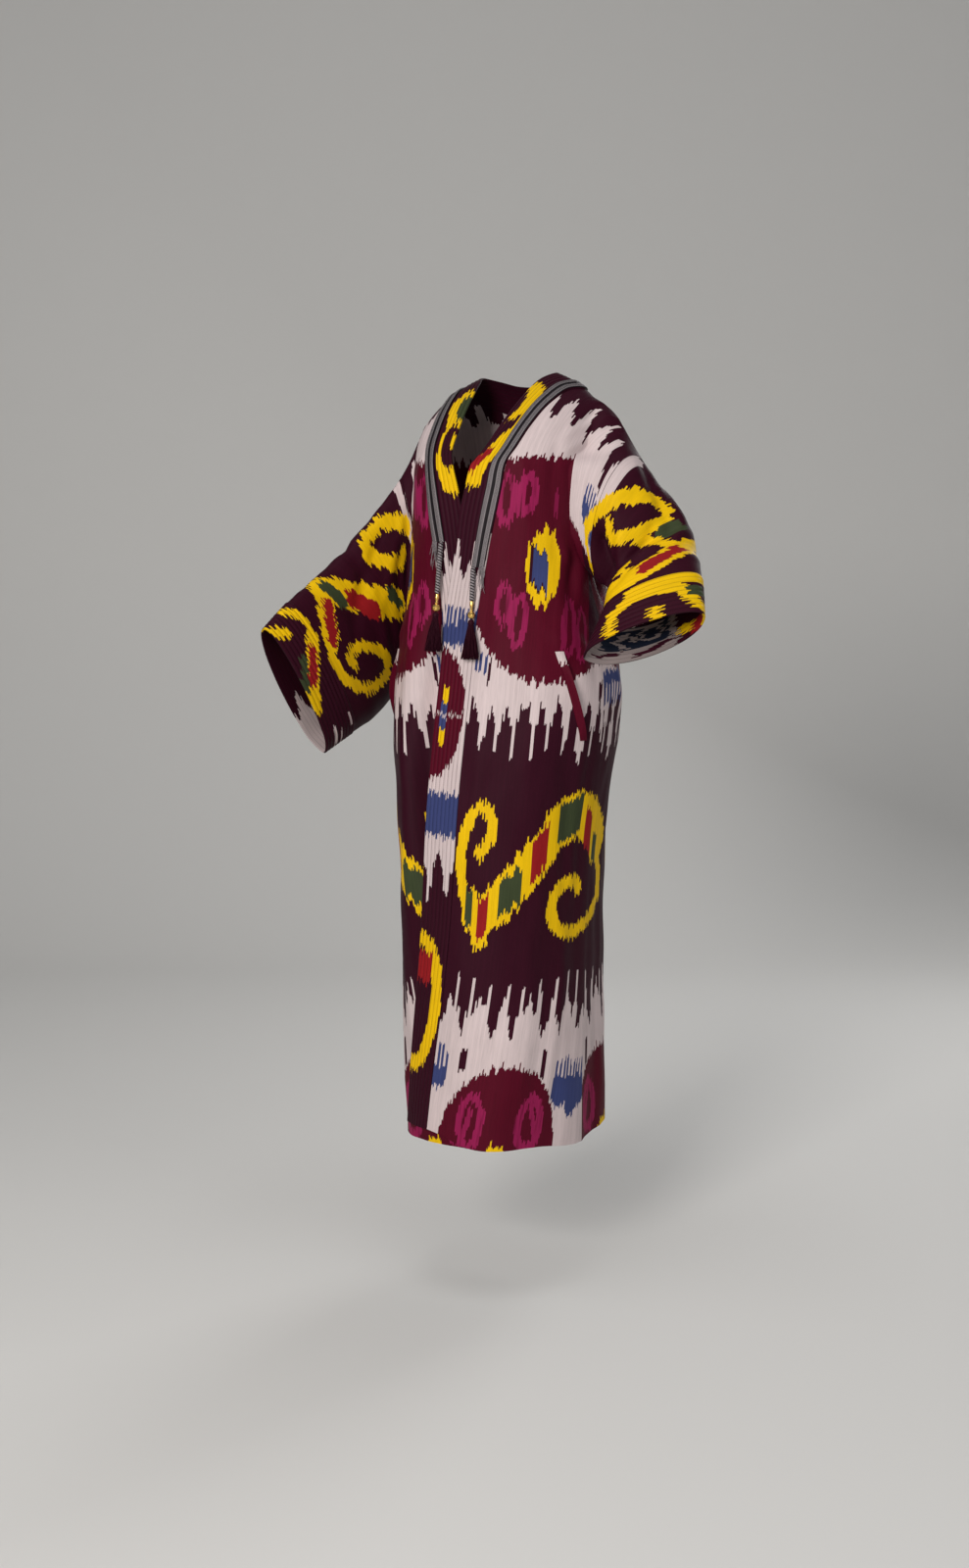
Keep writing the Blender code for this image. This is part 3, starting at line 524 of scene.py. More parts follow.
def level_row(z, back, right, fractions_of_band, fractions_of_panel):
    """One level row below the chest line: points by distance along the body's section."""
    angles = np.radians(np.linspace(180, 90, 181) if back else np.linspace(-60, 90, 301))
    radius = section_radius(z, angles)
    if right and not back:
        radius = radius - lap_inset(radius * np.sin(angles), z)
    x, y = radius * np.sin(angles), -radius * np.cos(angles)
    along = distances(np.stack([x, y], 1))
    side = along[-1]
    if z > UNDERARM_Z:
        side = np.interp(smooth(FRONT, z, 3), x, along)
    if back:
        first = seam = SEAM / 2
    else:
        first = np.interp(smooth(FRONT, z, 1), x, along)
        seam = first + BAND_WIDTH
        if z > SEAM_TABLE_Z:
            seam = np.interp(smooth(FRONT, z, 2), x, along)
    spread = side - seam - SEAM
    fractions = fractions_of_panel
    if not back:
        nearness = 1 - step(*SLIT_SHIFT, abs(z - (POCKET_TOP[1] + POCKET_FOOT[1]) / 2))
        share = (z - POCKET_TOP[1]) / (POCKET_FOOT[1] - POCKET_TOP[1])
        slit_angle = POCKET_TOP[0] + (POCKET_FOOT[0] - POCKET_TOP[0]) * np.clip(share, *SLIT_RUN)
        slit = (np.interp(slit_angle, angles, along) - seam - SEAM) / spread
        slit = SLIT_FRACTION + (slit - SLIT_FRACTION) * nearness
        welt = PANEL_SPLITS[SLIT_COLUMN - 1]
        welt += (slit - WELT_WIDTH / spread - welt) * nearness
        marks = [0, PANEL_SPLITS[SLIT_COLUMN - 1], SLIT_FRACTION, 1]
        fractions = np.interp(fractions, marks, [0, welt, slit, 1])
    where = seam + SEAM + spread * fractions
    heights = z - SIDE_DROP * step(CORNER_FROM_Z, HEM_Z, z) * step(SIDE_REACH, 0.0, side - where)
    if not back:
        where = np.concatenate([first + (seam - first) * fractions_of_band, where])
        rise = 0.0 if right else CORNER_RISE * step(CORNER_FROM_Z, HEM_Z, z)
        drop = np.concatenate([np.zeros(len(fractions_of_band)), z - heights])
        heights = z - drop + rise * (1 - step(BAND_WIDTH, CORNER_REACH, where - first))
    return np.stack([np.interp(where, along, x), np.interp(where, along, y), heights], 1)


def yoke_point(x, turn, back, right):
    """A point between the chest line (turn 0) and the shoulder line (turn 90 degrees)."""
    width, depth = smooth(BODY, CHEST_Z, 1), smooth(BODY, CHEST_Z, 3 if back else 2)
    chest_y = depth * (1 - np.minimum(np.abs(x) / width, 0.999) ** ROUNDNESS) ** (1 / ROUNDNESS)
    chest_y = chest_y if back else -chest_y
    least, more = YOKE_BEND_BACK if back else YOKE_BEND_FRONT
    bend = least + more * np.abs(x)
    rise, run = np.sin(turn) ** (2 / bend), np.maximum(np.cos(turn), 0.0) ** (2 / bend)
    top = smooth(SHOULDER, np.abs(x), 1)
    z = CHEST_Z + (top - CHEST_Z) * rise
    y = SHOULDER_Y + (chest_y - SHOULDER_Y) * run
    if right and not back:
        y = y + lap_inset(x, z) * run
    return np.stack(np.broadcast_arrays(x, y, z), -1)


def yoke_row(turn, wrap, back, right, fractions_of_band, fractions_of_panel, chest_x):
    """One row of the shoulder. Behind it the band's rows swing round the neck by the wrap angle."""
    share = turn / (math.pi / 2)
    side = chest_x[-1] + (ARMHOLE_TOP_X - chest_x[-1]) * share
    if back and wrap is not None:
        edge, seam = NECK_EDGE_X * math.cos(wrap), NECK_SEAM_X * math.cos(wrap)
        edge_turn = math.pi / 2 - NECK_BACK_TURN * math.sin(wrap)
    elif back:
        edge = seam = 0.0
        edge_turn = turn
    else:
        edge = chest_x[0] + (NECK_EDGE_X - chest_x[0]) * share
        seam = SEAM_CHEST_X + (NECK_SEAM_X - SEAM_CHEST_X) * share
        edge_turn = turn
    seam = max(seam, SEAM)
    inner = seam + SEAM
    panel = yoke_point(inner + (side - inner) * fractions_of_panel, turn, back, right)
    if back and wrap is None:
        return panel
    turns = edge_turn + (turn - edge_turn) * fractions_of_band
    across = max(edge, SEAM / 2) + (seam - max(edge, SEAM / 2)) * fractions_of_band
    band = yoke_point(across, turns, back, right)
    return np.concatenate([band, panel])


def body_middle(points):
    """Points inside the body, level with the given ones up to the chest."""
    middle = np.zeros_like(points) + [0.0, MIDDLE_Y, 0.0]
    middle[..., 2] = np.minimum(points[..., 2], MIDDLE_TOP_Z)
    return middle


def body_rows(side):
    """The side's whole panel as rows from the front hem over the shoulder to the back hem.

    Gives the band's grid and its unit normals, and then the panel's grid and its own.
    """
    right = side < 0
    low = np.concatenate([
        np.linspace(HEM_Z, POCKET_FOOT[1], POCKET_ROW + 1),
        np.linspace(POCKET_FOOT[1], POCKET_TOP[1], SLIT_ROWS + 1)[1:],
        np.linspace(POCKET_TOP[1], UNDERARM_Z, WAIST_ROWS + 1)[1:],
        np.linspace(UNDERARM_Z, CHEST_Z, ARM_ROWS + 1)[1:],
    ])
    front = [level_row(z, False, right, BAND_SPLITS, PANEL_SPLITS) for z in low]
    band_count = len(BAND_SPLITS)
    chest_x = front[-1][:, 0]
    panel_share = (chest_x[band_count:] - chest_x[band_count]) / (chest_x[-1] - chest_x[band_count])
    ends = chest_x[[0, -1]]
    for turn in YOKE_TURNS:
        front.append(yoke_row(turn, None, False, right, BAND_SPLITS, panel_share, ends))
    behind = []
    for wrap in NECK_WRAPS:
        turn = math.pi / 2 - SEAM_BACK_TURN * math.sin(wrap)
        behind.append(yoke_row(turn, wrap, True, right, BAND_SPLITS, panel_share, ends))
    back_chest = level_row(CHEST_Z, True, right, None, PANEL_SPLITS)
    back_share = (back_chest[:, 0] - back_chest[0, 0]) / (back_chest[-1, 0] - back_chest[0, 0])
    below = [yoke_row(YOKE_TURNS[0], None, True, right, None, back_share, ends)]
    below += [level_row(z, True, right, None, PANEL_SPLITS) for z in low[::-1]]
    band = np.array([row[:band_count] for row in front + behind])
    panel = np.array([row[band_count:] for row in front + behind] + below)
    both = np.array(front + behind)
    across = BAND_WIDTH + SEAM + PANEL_SPLITS * PANEL_WIDTH
    across = np.concatenate([BAND_SPLITS * BAND_WIDTH, across])
    both_normals = facing(both, body_middle(both), across=across)
    panel_normals = facing(panel, body_middle(panel))
    panel_normals[: len(both) - 1] = both_normals[:-1, band_count:]
    return band, both_normals[:, :band_count], panel, panel_normals


def catmull(rings, at):
    """A soft curve through a list of rings, read at a fractional ring number."""
    k = int(min(max(math.floor(at), 0), len(rings) - 2))
    t = at - k
    before = rings[k - 1] if k > 0 else 2 * rings[0] - rings[1]
    after = rings[k + 2] if k + 2 < len(rings) else 2 * rings[-1] - rings[-2]
    a, b = rings[k], rings[k + 1]
    return hermite(a, b, (b - before) / 2, (after - a) / 2, 1.0, t)


def sleeve_rings(armhole, table):
    """The armhole's ring and the sleeve's rings after it, point for point."""
    along = distances(armhole)
    top = FRONT_LOOP - 1
    front = along[: top + 1] / along[top]
    back = (along[top:] - along[top]) / (along[-1] - along[top])
    middles = [armhole.mean(0)] + [(upper + lower) / 2 for upper, lower, *_ in table]
    rings = [armhole]
    for k, (upper, lower, swell_front, swell_back, lean) in enumerate(table):
        run = middles[min(k + 2, len(middles) - 1)] - middles[k]
        half = (upper - lower) / 2
        out = -unit(np.cross(half, run))
        turn_front, turn_back = math.pi * (1 - front), math.pi * back
        ring_front = (upper + lower) / 2 + np.outer(np.cos(turn_front), half)
        leaning = unit(out + lean * unit(run))
        ring_front += np.outer(np.sin(turn_front) * swell_front, leaning)
        ring_back = (upper + lower) / 2 + np.outer(np.cos(turn_back), half)
        ring_back -= np.outer(np.sin(turn_back) * swell_back, out)
        rings.append(np.concatenate([ring_front, ring_back[1:]]))
    return rings


def tube(rings, stations):
    """A grid of points through closed rings, and its unit normals."""
    points = np.array([catmull(rings, at) for at in stations])
    centres = points[:, :-1].mean(1, keepdims=True)
    closed = np.concatenate([points[:, -2:-1], points, points[:, 1:2]], 1)
    normals = facing(closed, np.broadcast_to(centres, closed.shape), down=stations)[:, 1:-1]
    return points, normals


def front_surface(x, z):
    """The left front's height in front of the middle plane, away from folds."""
    width, depth = smooth(BODY, z, 1), smooth(BODY, z, 2)
    return -depth * (1 - np.abs(x / width) ** ROUNDNESS) ** (1 / ROUNDNESS)


def creases(table, flat):
    """How far the creases lift each point of a flat grid."""
    lift = np.zeros(flat.shape[:-1])
    for u, v, turn, length, width, height in table:
        way = np.array([math.cos(math.radians(turn)), math.sin(math.radians(turn))])
        from_middle = flat - [u, v]
        along = from_middle @ way
        across = from_middle @ [-way[1], way[0]]
        bent = across + SWAY * width * np.sin(SWAY_TURNS * along / length + SWAY_PHASE * u)
        fade = np.exp(-((2 * along / length) ** 4))
        narrow = width * (END_WIDTH + MORE_WIDTH * np.cos(NARROWING * along / length))
        lift += height * fade * np.exp(-((bent / narrow) ** 2))
    return lift


def ripple(flat, seed):
    """Small soft unevenness of pressed cloth."""
    u, v = flat[..., 0], flat[..., 1]
    soft = sum(np.sin(a * u + b * v + phase + seed) for a, b, phase in RIPPLES)
    drag = np.sin(140 * u + 9 * v + seed + 1.3 * np.sin(17 * v))
    drag = drag * np.sin(23 * v - 31 * u + 2 * seed)
    return RIPPLE_HEIGHT * soft + DRAG_HEIGHT * drag


def softened(keys, values, at, axis):
    """Reads rows or columns of a grid at fractional numbers, on a soft curve through them."""
    values = np.moveaxis(values, axis, 0)
    slopes = np.gradient(values, keys, axis=0)
    k = np.clip(np.floor(at + 1e-9).astype(int), 0, len(keys) - 2)
    shape = (len(at),) + (1,) * (values.ndim - 1)
    span = (keys[k + 1] - keys[k]).reshape(shape)
    made = hermite(values[k], values[k + 1], slopes[k], slopes[k + 1], span, (at - k).reshape(shape))
    return np.moveaxis(made, 0, axis)


def finer(points, out, flat, rows_at, columns_at, closed=False):
    """A grid's points, unit normals and flat places, read at finer rows and columns.

    A closed tube's last column is its first, so its curves run on round the seam. Its
    flat places don't: they start and end there.
    """
    made = []
    for grid in (points, out, flat):
        run_on = closed and grid.shape[-1] == 3
        along = np.concatenate([points[:, -3:-1], points, points[:, 1:3]], 1) if closed else points
        across = distances(along, 1)
        if run_on:
            grid = np.concatenate([grid[:, -3:-1], grid, grid[:, 1:3]], 1)
        elif closed:
            across = across[2:-2]
        grid = softened(distances(points), grid, rows_at, 0)
        made.append(softened(across, grid, columns_at + 2 if run_on else columns_at, 1))
    return made[0], unit(made[1]), made[2]


class Shell:
    """A cloth wall: an inner and an outer skin over the same cells, with open edges closed.

    Its grids are worked out on the wearer's left, and mirrored for the right side.
    """

    def __init__(self, side):
        self.side = side
        self.inner, self.outer, self.quads, self.flats = [], [], [], []
        self.count = 0

    def add(self, inner, outer):
        """Adds both skins' points and gives the numbers of the grid's corners."""
        ids = np.arange(self.count, self.count + inner[..., 0].size).reshape(inner.shape[:-1])
        self.count += ids.size
        self.inner.append(mirrored(inner, self.side).reshape(-1, 3))
        self.outer.append(mirrored(outer, self.side).reshape(-1, 3))
        return ids

    def fill(self, ids, flat):
        self.quads.append(corners_of(ids))
        self.flats.append(corners_of(flat))

    def make(self, name, material):
        quads = np.concatenate(self.quads)
        flats = np.concatenate(self.flats)
        edges = np.stack([quads, np.roll(quads, -1, 1)], 2).reshape(-1, 2)
        edge_flats = np.stack([flats, np.roll(flats, -1, 1)], 2).reshape(-1, 2, 2)
        low = np.sort(edges, axis=1)
        _, index, uses = np.unique(low, axis=0, return_inverse=True, return_counts=True)
        rim = uses[index.reshape(-1)] == 1
        a, b = edges[rim].T
        n = self.count
        faces = np.concatenate([quads + n, quads[:, ::-1], np.stack([b + n, a + n, a, b], 1)])
        flats = np.concatenate([flats, flats[:, ::-1], edge_flats[rim][:, [1, 0, 0, 1]]])
        mesh = bpy.data.meshes.new(name)
        mesh.from_pydata(np.concatenate(self.inner + self.outer).tolist(), [], faces.tolist())
        mesh.uv_layers.new(name="flat").data.foreach_set("uv", flats.reshape(-1).astype(np.float32))
        work = bmesh.new()
        work.from_mesh(mesh)
        unused = [corner for corner in work.verts if not corner.link_faces]
        bmesh.ops.delete(work, geom=unused, context="VERTS")
        bmesh.ops.recalc_face_normals(work, faces=work.faces)
        work.to_mesh(mesh)
        work.free()
        mesh.shade_smooth()
        mesh.set_sharp_from_angle(angle=SHARP_FOLD)
        return piece(name, mesh, material)


def corners_of(grid):
    """Each cell's four corners, in turn."""
    around = [grid[:-1, :-1], grid[:-1, 1:], grid[1:, 1:], grid[1:, :-1]]
    return np.stack([part.reshape(-1, *grid.shape[2:]) for part in around], 1)


def piece(name, mesh, material):
    thing = bpy.data.objects.new(name, mesh)
    bpy.context.scene.collection.objects.link(thing)
    mesh.materials.append(material)
    return thing


def zone_materials(thing, zones):
    """Gives the faces farther from the shoulder than each limit that zone's material."""
    mesh = thing.data
    flats = np.zeros(2 * len(mesh.loops), np.float32)
    mesh.uv_layers["flat"].data.foreach_get("uv", flats)
    starts = np.zeros(len(mesh.polygons), np.int32)
    mesh.polygons.foreach_get("loop_start", starts)
    down = np.abs(flats[1::2][starts])
    index = np.zeros(len(starts), np.int32)
    for limit, material in zones:
        mesh.materials.append(material)
        index[down > limit] = len(mesh.materials) - 1
    mesh.polygons.foreach_set("material_index", index)


def stands_for(thing, slot, *nodes):
    """Puts a piece on the coat, in its CAD nodes' place where it has some."""
    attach(thing, "root")
    if nodes:
        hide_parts(*nodes)


def row_steps(points):
    """How many fine rows go in each coarse one, the same before and behind below the arm."""
    steps = np.maximum(1, np.round(spans(points) / FINE)).astype(int)
    steps[-FIRST_LOOP:] = steps[:FIRST_LOOP][::-1]
    return steps


def spread(steps):
    """Fractional coarse numbers for that many fine steps in each coarse one."""
    parts = [k + np.arange(count) / count for k, count in enumerate(steps)]
    return np.concatenate(parts + [[len(steps)]])


def flat_panel(panel):
    """Where each point of the panel lies on the flat cloth: across, and down from the shoulder."""
    across = np.linalg.norm(np.diff(panel, axis=1), axis=-1)
    across = np.concatenate([np.zeros((len(panel), 1)), np.cumsum(across, 1)], 1)
    seam_x, z = panel[:, 0, 0], panel[:, 0, 2]
    line = LINE_FOOT_X + LINE_SLOPE * (np.minimum(z, 0.0) - LINE_Z)
    offset = np.where(z > LINE_Z, np.maximum(seam_x - line, 0.0), 0.0)
    offset[RIDGE_ROW:] = seam_x[RIDGE_ROW:] + CENTRE_BACK_U
    offset[NECK_ROWS:] = CENTRE_BACK_U
    down = distances(panel[:, MIDDLE_COLUMNS])
    down = down[RIDGE_ROW] - down
    v = np.repeat(down[:, None], panel.shape[1], 1)
    for rows in (slice(0, LOW_ROWS), slice(len(panel) - LOW_ROWS, len(panel))):
        level = panel[rows, LEVEL_COLUMN, 2][:, None]
        v[rows] += np.sign(v[rows]) * (level - panel[rows, :, 2])
    number = np.arange(len(panel))
    high = (number >= LOW_ROWS) & (number < len(panel) - LOW_ROWS)
    before = np.clip((RIDGE_ROW - number) / (RIDGE_ROW - LOW_ROWS + 1), 0, 1)
    behind = np.clip((number - RIDGE_ROW) / (len(panel) - LOW_ROWS - RIDGE_ROW), 0, 1)
    share = np.where(high, before - behind, 0.0)[:, None]
    v += share * (panel[:, LEVEL_COLUMN, 2][:, None] - panel[..., 2])
    return np.stack([across + offset[:, None], v], 2)


def around_ring(ring):
    """Distances round a ring from its top fold: forward is positive."""
    along = distances(ring)
    return along[FRONT_LOOP - 1] - along


class CoatSide:
    """All the cloth of one side of the coat, as shells over the same points as its solids."""

    def __init__(self, name, side, sleeve_table, cloths):
        self.name, self.side, self.cloths = name, side, cloths
        self.made = {}
        self.band, self.band_out, self.panel, self.panel_out = body_rows(side)
        self.loop = slice(FIRST_LOOP, FIRST_LOOP + 2 * FRONT_LOOP)
        table = [(mirrored(u, side), mirrored(v, side), *rest) for u, v, *rest in sleeve_table]
        rings = sleeve_rings(self.panel[self.loop, -1], table)
        stations = [
            np.linspace(0, PANEL_END, YOKE_RINGS),
            np.linspace(PANEL_END + SEAM_SHARE, CUFF_START, SLEEVE_RINGS),
            np.linspace(CUFF_START + SEAM_SHARE, SLEEVE_END, 2 * CUFF_CHANNELS + 1),
        ]
        points, out = tube(rings, np.concatenate(stations))
        ends = np.cumsum([len(part) for part in stations])[:-1]
        yoke_flat, sleeve_flat, cuff_flat = self.measure_flat(points, ends)
        yoke, sleeve, cuff = np.split(points, ends)
        yoke_out, sleeve_out, cuff_out = np.split(out, ends)
        self.panel_out[self.loop, -1] = unit(yoke_out[0] + self.panel_out[self.loop, -1])
        self.rows_at = spread(row_steps(self.panel))
        first = int(np.searchsorted(self.rows_at, FIRST_LOOP))
        self.loop_rows = slice(first, len(self.rows_at) - first)
        self.around_at = self.rows_at[self.loop_rows] - FIRST_LOOP
        self.build_panel(yoke, yoke_out, yoke_flat)
        self.build_pocket()
        self.build_band()
        self.build_sleeve(sleeve, sleeve_out, sleeve_flat)
        self.build_cuff(cuff, cuff_out, cuff_flat)

    def measure_flat(self, points, ends):
        """The flat places of the panel, and of the three stretches of the arm's tube."""
        self.panel_flat = flat_panel(self.panel)
        if self.side < 0:
            slant = RIGHT_FRONT_SLANT * (self.panel_flat[..., 1] - RIGHT_SLANT_FROM)
            self.panel_flat[..., 0] += np.clip(slant, 0.0, RIGHT_FRONT_SHIFT)
        around = np.array([around_ring(ring) for ring in points])
        outward = distances(points)
        outward += PANEL_EDGE_U - outward[YOKE_RINGS - 1]
        tube_flat = np.stack(np.broadcast_arrays(outward[:, None], around), 2)
        yoke_flat, sleeve_flat, cuff_flat = np.split(tube_flat, ends)
        share = np.linspace(0, 1, YOKE_RINGS)[:, None, None]
        yoke_flat = self.panel_flat[self.loop, -1] * (1 - share) + yoke_flat[-1] * share
        return yoke_flat, sleeve_flat, cuff_flat

    def finish(self, key, shell):
        """Makes a shell's piece and puts it in its CAD node's place."""
        slot, held, support = SHEETS[key]
        thing = shell.make(f"coat_{key}_{self.name}", self.cloths[key])
        if key == "panel":
            zone_materials(thing, self.cloths["zones"])
        stands_for(thing, slot, f"{key}_{self.name}")
        self.made[key] = thing

    def wall(self, key, inner, outer, flat, closed=False):
        shell = Shell(self.side)
        ids = shell.add(inner, outer)
        if closed:
            ids[:, -1] = ids[:, 0]
        shell.fill(ids, flat)
        self.finish(key, shell)

    def build_panel(self, yoke, yoke_out, yoke_flat):
        """The panel with its pocket slit, and its last stretch round the upper arm."""
        self.columns_at = np.arange((len(PANEL_SPLITS) - 1) * COLUMN_STEPS + 1) / COLUMN_STEPS
        fine, out, flat = finer(self.panel, self.panel_out, self.panel_flat, self.rows_at, self.columns_at)
        lift = creases(BODY_CREASES + FRONT_CREASES[self.name], flat) + ripple(flat, self.side)
        fade = step(0.0, PANEL_FADE[0], flat[..., 0] - flat[:, :1, 0])
        fade = fade * step(0.0, PANEL_FADE[1], flat[:, -1:, 0] - flat[..., 0])
        fine = fine + (lift * fade)[..., None] * out
        self.fine, self.out, self.flat = fine, out, flat

        shell = Shell(self.side)
        ids = shell.add(fine, fine + CLOTH * out)
        below_arm = np.arange(self.loop_rows.start + 1)
        ids[len(self.rows_at) - 1 - below_arm, -1] = ids[below_arm, -1]
        rings_at = np.linspace(0, YOKE_RINGS - 1, YOKE_STEPS * (YOKE_RINGS - 1) + 1)
        arm, arm_out, arm_flat = finer(yoke, yoke_out, yoke_flat, rings_at, self.around_at, True)
        arm_ids = shell.add(arm[1:], (arm + CLOTH * arm_out)[1:])
        arm_ids[:, -1] = arm_ids[:, 0]
        shell.fill(np.concatenate([ids[self.loop_rows, -1][None], arm_ids]), arm_flat)

        rows = np.flatnonzero(self.rows_beside_pocket(-1e-6, -1e-6))
        columns = slice(WELT_COLUMN + 1, SLIT_FINE_COLUMN + 1)
        arc = np.sin(math.pi * (self.rows_at[rows] - POCKET_ROW) / SLIT_ROWS)[:, None, None]
        pull = ((self.columns_at[columns] - SLIT_COLUMN + 1) ** LIP_POWER)[None, :, None]
        forward = unit(fine[rows, WELT_COLUMN] - fine[rows, SLIT_FINE_COLUMN])[:, None]
        gape = POCKET_GAPE[self.name] * arc * pull
        self.lip = fine[rows, columns] + gape * (out[rows, columns] + LIP_FORWARD * forward)
        lip_ids = ids.copy()
        lip_ids[rows, columns] = shell.add(self.lip, self.lip + CLOTH * out[rows, columns])
        before = slice(0, SLIT_FINE_COLUMN + 1)
        shell.fill(lip_ids[:, before], flat[:, before])
        shell.fill(ids[:, SLIT_FINE_COLUMN:], flat[:, SLIT_FINE_COLUMN:])
        self.finish("panel", shell)

    def rows_beside_pocket(self, above, below):
        """The fine rows from so many coarse rows below the slit to so many above it."""
        low, high = POCKET_ROW - below, POCKET_ROW + SLIT_ROWS + above
        return (self.rows_at > low) & (self.rows_at < high)

    def build_pocket(self):
        """The welt on the slit's front lip, and the bag just under the creased panel."""
        rows = np.flatnonzero(self.rows_beside_pocket(1e-6, 1e-6))
        columns = slice(WELT_COLUMN, SLIT_FINE_COLUMN + 1)
        welt = self.fine[rows, columns].copy()
        welt[1:-1, 1:] = self.lip
        flat = self.flat[rows, columns]
        flat = flat - [flat[:, -1, 0].mean(), flat[0, 0, 1]]
        puff = np.sin(np.linspace(0, math.pi, COLUMN_STEPS + 1))[None, :, None]
        base = welt + (CLOTH + SEAM) * self.out[rows, columns]
        top = base + (CLOTH + WELT_PUFF * puff) * self.out[rows, columns]
        self.wall("pocket_welt", base, top, flat)

        rows = np.flatnonzero(self.rows_beside_pocket(BAG_ABOVE, BAG_BELOW))
        columns = slice(WELT_COLUMN - COLUMN_STEPS, SLIT_FINE_COLUMN + COLUMN_STEPS + 1)
        out = self.out[rows, columns]
        down, across = (np.sin(np.linspace(0, math.pi, count)) for count in out.shape[:2])
        bag = self.fine[rows, columns] - (SEAM + BAG_DEPTH * np.outer(down, across))[..., None] * out
        self.wall("pocket_bag", bag - CLOTH * out, bag, self.flat[rows, columns])

    def build_band(self):
        """The quilted band, and the braid on it."""
        rows_at = self.rows_at[self.rows_at < len(self.band) - 1 + 1e-6]
        down = distances(self.band[:, LEVEL_COLUMN:])
        down = down[RIDGE_ROW] - down
        flat = np.stack(np.broadcast_arrays(BAND_SPLITS[None] * BAND_WIDTH, down[:, None]), 2)
        columns_at = np.linspace(0, 2 * BAND_CHANNELS, BAND_CHANNELS * CHANNEL_POINTS + 1)
        inner, out, flat = finer(self.band, self.band_out, flat, rows_at, columns_at)
        crest = inner + quilted(columns_at / 2, flat[..., 1]) * out
        crest[-1, :, 0] = np.maximum(crest[-1, :, 0], SEAM / 2)
        self.wall("band", inner, crest, flat)
        self.build_braid(down)

    def build_braid(self, down):
        """The flat tape and its two plaited rows, on the band's outer part."""
        across = np.linspace(BRAID_FROM, BRAID_TO, BRAID_COLUMNS + 1)
        rows = slice(BRAID_ROW[self.name], None)
        base = on_band(self.band + QUILT_TOP * self.band_out, rows, across)
        out = unit(on_band(self.band_out, rows, across))
        flat = np.stack(np.broadcast_arrays(across[None] - BRAID_FROM, down[rows, None]), 2)
        steps = np.maximum(1, np.round(spans(base) / BRAID_FINE)).astype(int)
        columns_at = np.linspace(0, BRAID_COLUMNS, BRAID_SPLITS + 1)
        base, out, flat = finer(base, out, flat, spread(steps), columns_at)
        ridge = np.abs(np.sin(np.linspace(0, 2 * math.pi, BRAID_SPLITS + 1))) ** RIDGE_POWER
        lean = np.abs(flat[..., 0] % BRAID_ROW_WIDTH - BRAID_ROW_MIDDLE)
        plait = 1 + PLAIT_RELIEF * np.sin(2 * math.pi * (flat[..., 1] + PLAIT_LEAN * lean) / PLAIT_LONG)
        top = base + (BRAID_THICK + BRAID_RIDGE * ridge[None] * plait)[..., None] * out
        for skin in (base, top):
            skin[-1, :, 0] = np.maximum(skin[-1, :, 0], SEAM / 2)
        self.wall("braid", base, top, flat)

    def build_sleeve(self, sleeve, sleeve_out, sleeve_flat):
        rings_at = spread([SLEEVE_STEPS] * (SLEEVE_RINGS - 1))
        points, out, flat = finer(sleeve, sleeve_out, sleeve_flat, rings_at, self.around_at, True)
        fade = step(0.0, SLEEVE_FADE, flat[..., 0] - PANEL_EDGE_U)
        fade = fade * step(0.0, SLEEVE_FADE, flat[-1:, :, 0] - flat[..., 0])
        lift = (creases(SLEEVE_CREASES[self.name], flat) + ripple(flat, 2 * self.side)) * fade
        points = points + lift[..., None] * out
        self.wall("sleeve", points, points + CLOTH * out, flat, True)

    def build_cuff(self, cuff, cuff_out, cuff_flat):
        rings_at = np.linspace(0, 2 * CUFF_CHANNELS, CUFF_CHANNELS * CHANNEL_POINTS + 1)
        points, out, flat = finer(cuff, cuff_out, cuff_flat, rings_at, self.around_at, True)
        crest = points + quilted((rings_at / 2)[:, None], flat[..., 1]) * out
        self.wall("cuff", points, crest, flat, True)


def on_band(grid, rows, across):
    """The band's grid read at distances across it."""
    where = np.interp(across / BAND_WIDTH, BAND_SPLITS, np.arange(len(BAND_SPLITS)))
    first = np.floor(where).astype(int)
    share = (where - first)[:, None]
    return grid[rows, first] * (1 - share) + grid[rows, first + 1] * share


def quilted(channels, along):
    """The thickness of padded channels, with a slight pucker between the stitches."""
    channels = np.broadcast_to(channels, along.shape)
    crown = np.abs(np.sin(math.pi * channels)) ** QUILT_CROWN
    number = np.floor(channels)
    uneven = np.prod([np.sin(turn * along + shift * number) for turn, shift in QUILT_WAVES], axis=0)
    uneven = 1 - QUILT_UNEVEN + QUILT_UNEVEN * uneven
    pucker = 1 - PUCKER * (1 - crown) * np.sin(2 * math.pi * along / PUCKER_LONG + number)
    return (QUILT_WALL + QUILT_RAISE * np.clip(crown * uneven * pucker, 0.0, 1.0))[..., None]


def lathe(points, radii, around, bumps=1.0):
    """Rings of points about a straight line. Bumps scale their radii, row by row."""
    way = Vector(points[-1] - points[0]).normalized()
    across = np.array(way.orthogonal().normalized())
    angles = ring_angles(around)[:, None]
    turn = np.cos(angles) * across + np.sin(angles) * np.cross(np.array(way), across)
    return points[:, None] + (np.asarray(radii)[:, None] * bumps)[..., None] * turn[None]


def ring_angles(around):
    return np.linspace(0, 2 * math.pi, around, endpoint=False)


def ring_faces(ids):
    """The faces of a tube through rings of corner numbers, closed at both ends."""
    faces = corners_of(np.concatenate([ids, ids[:, :1]], 1)).tolist()
    return faces + [ids[0, ::-1].tolist(), ids[-1].tolist()]


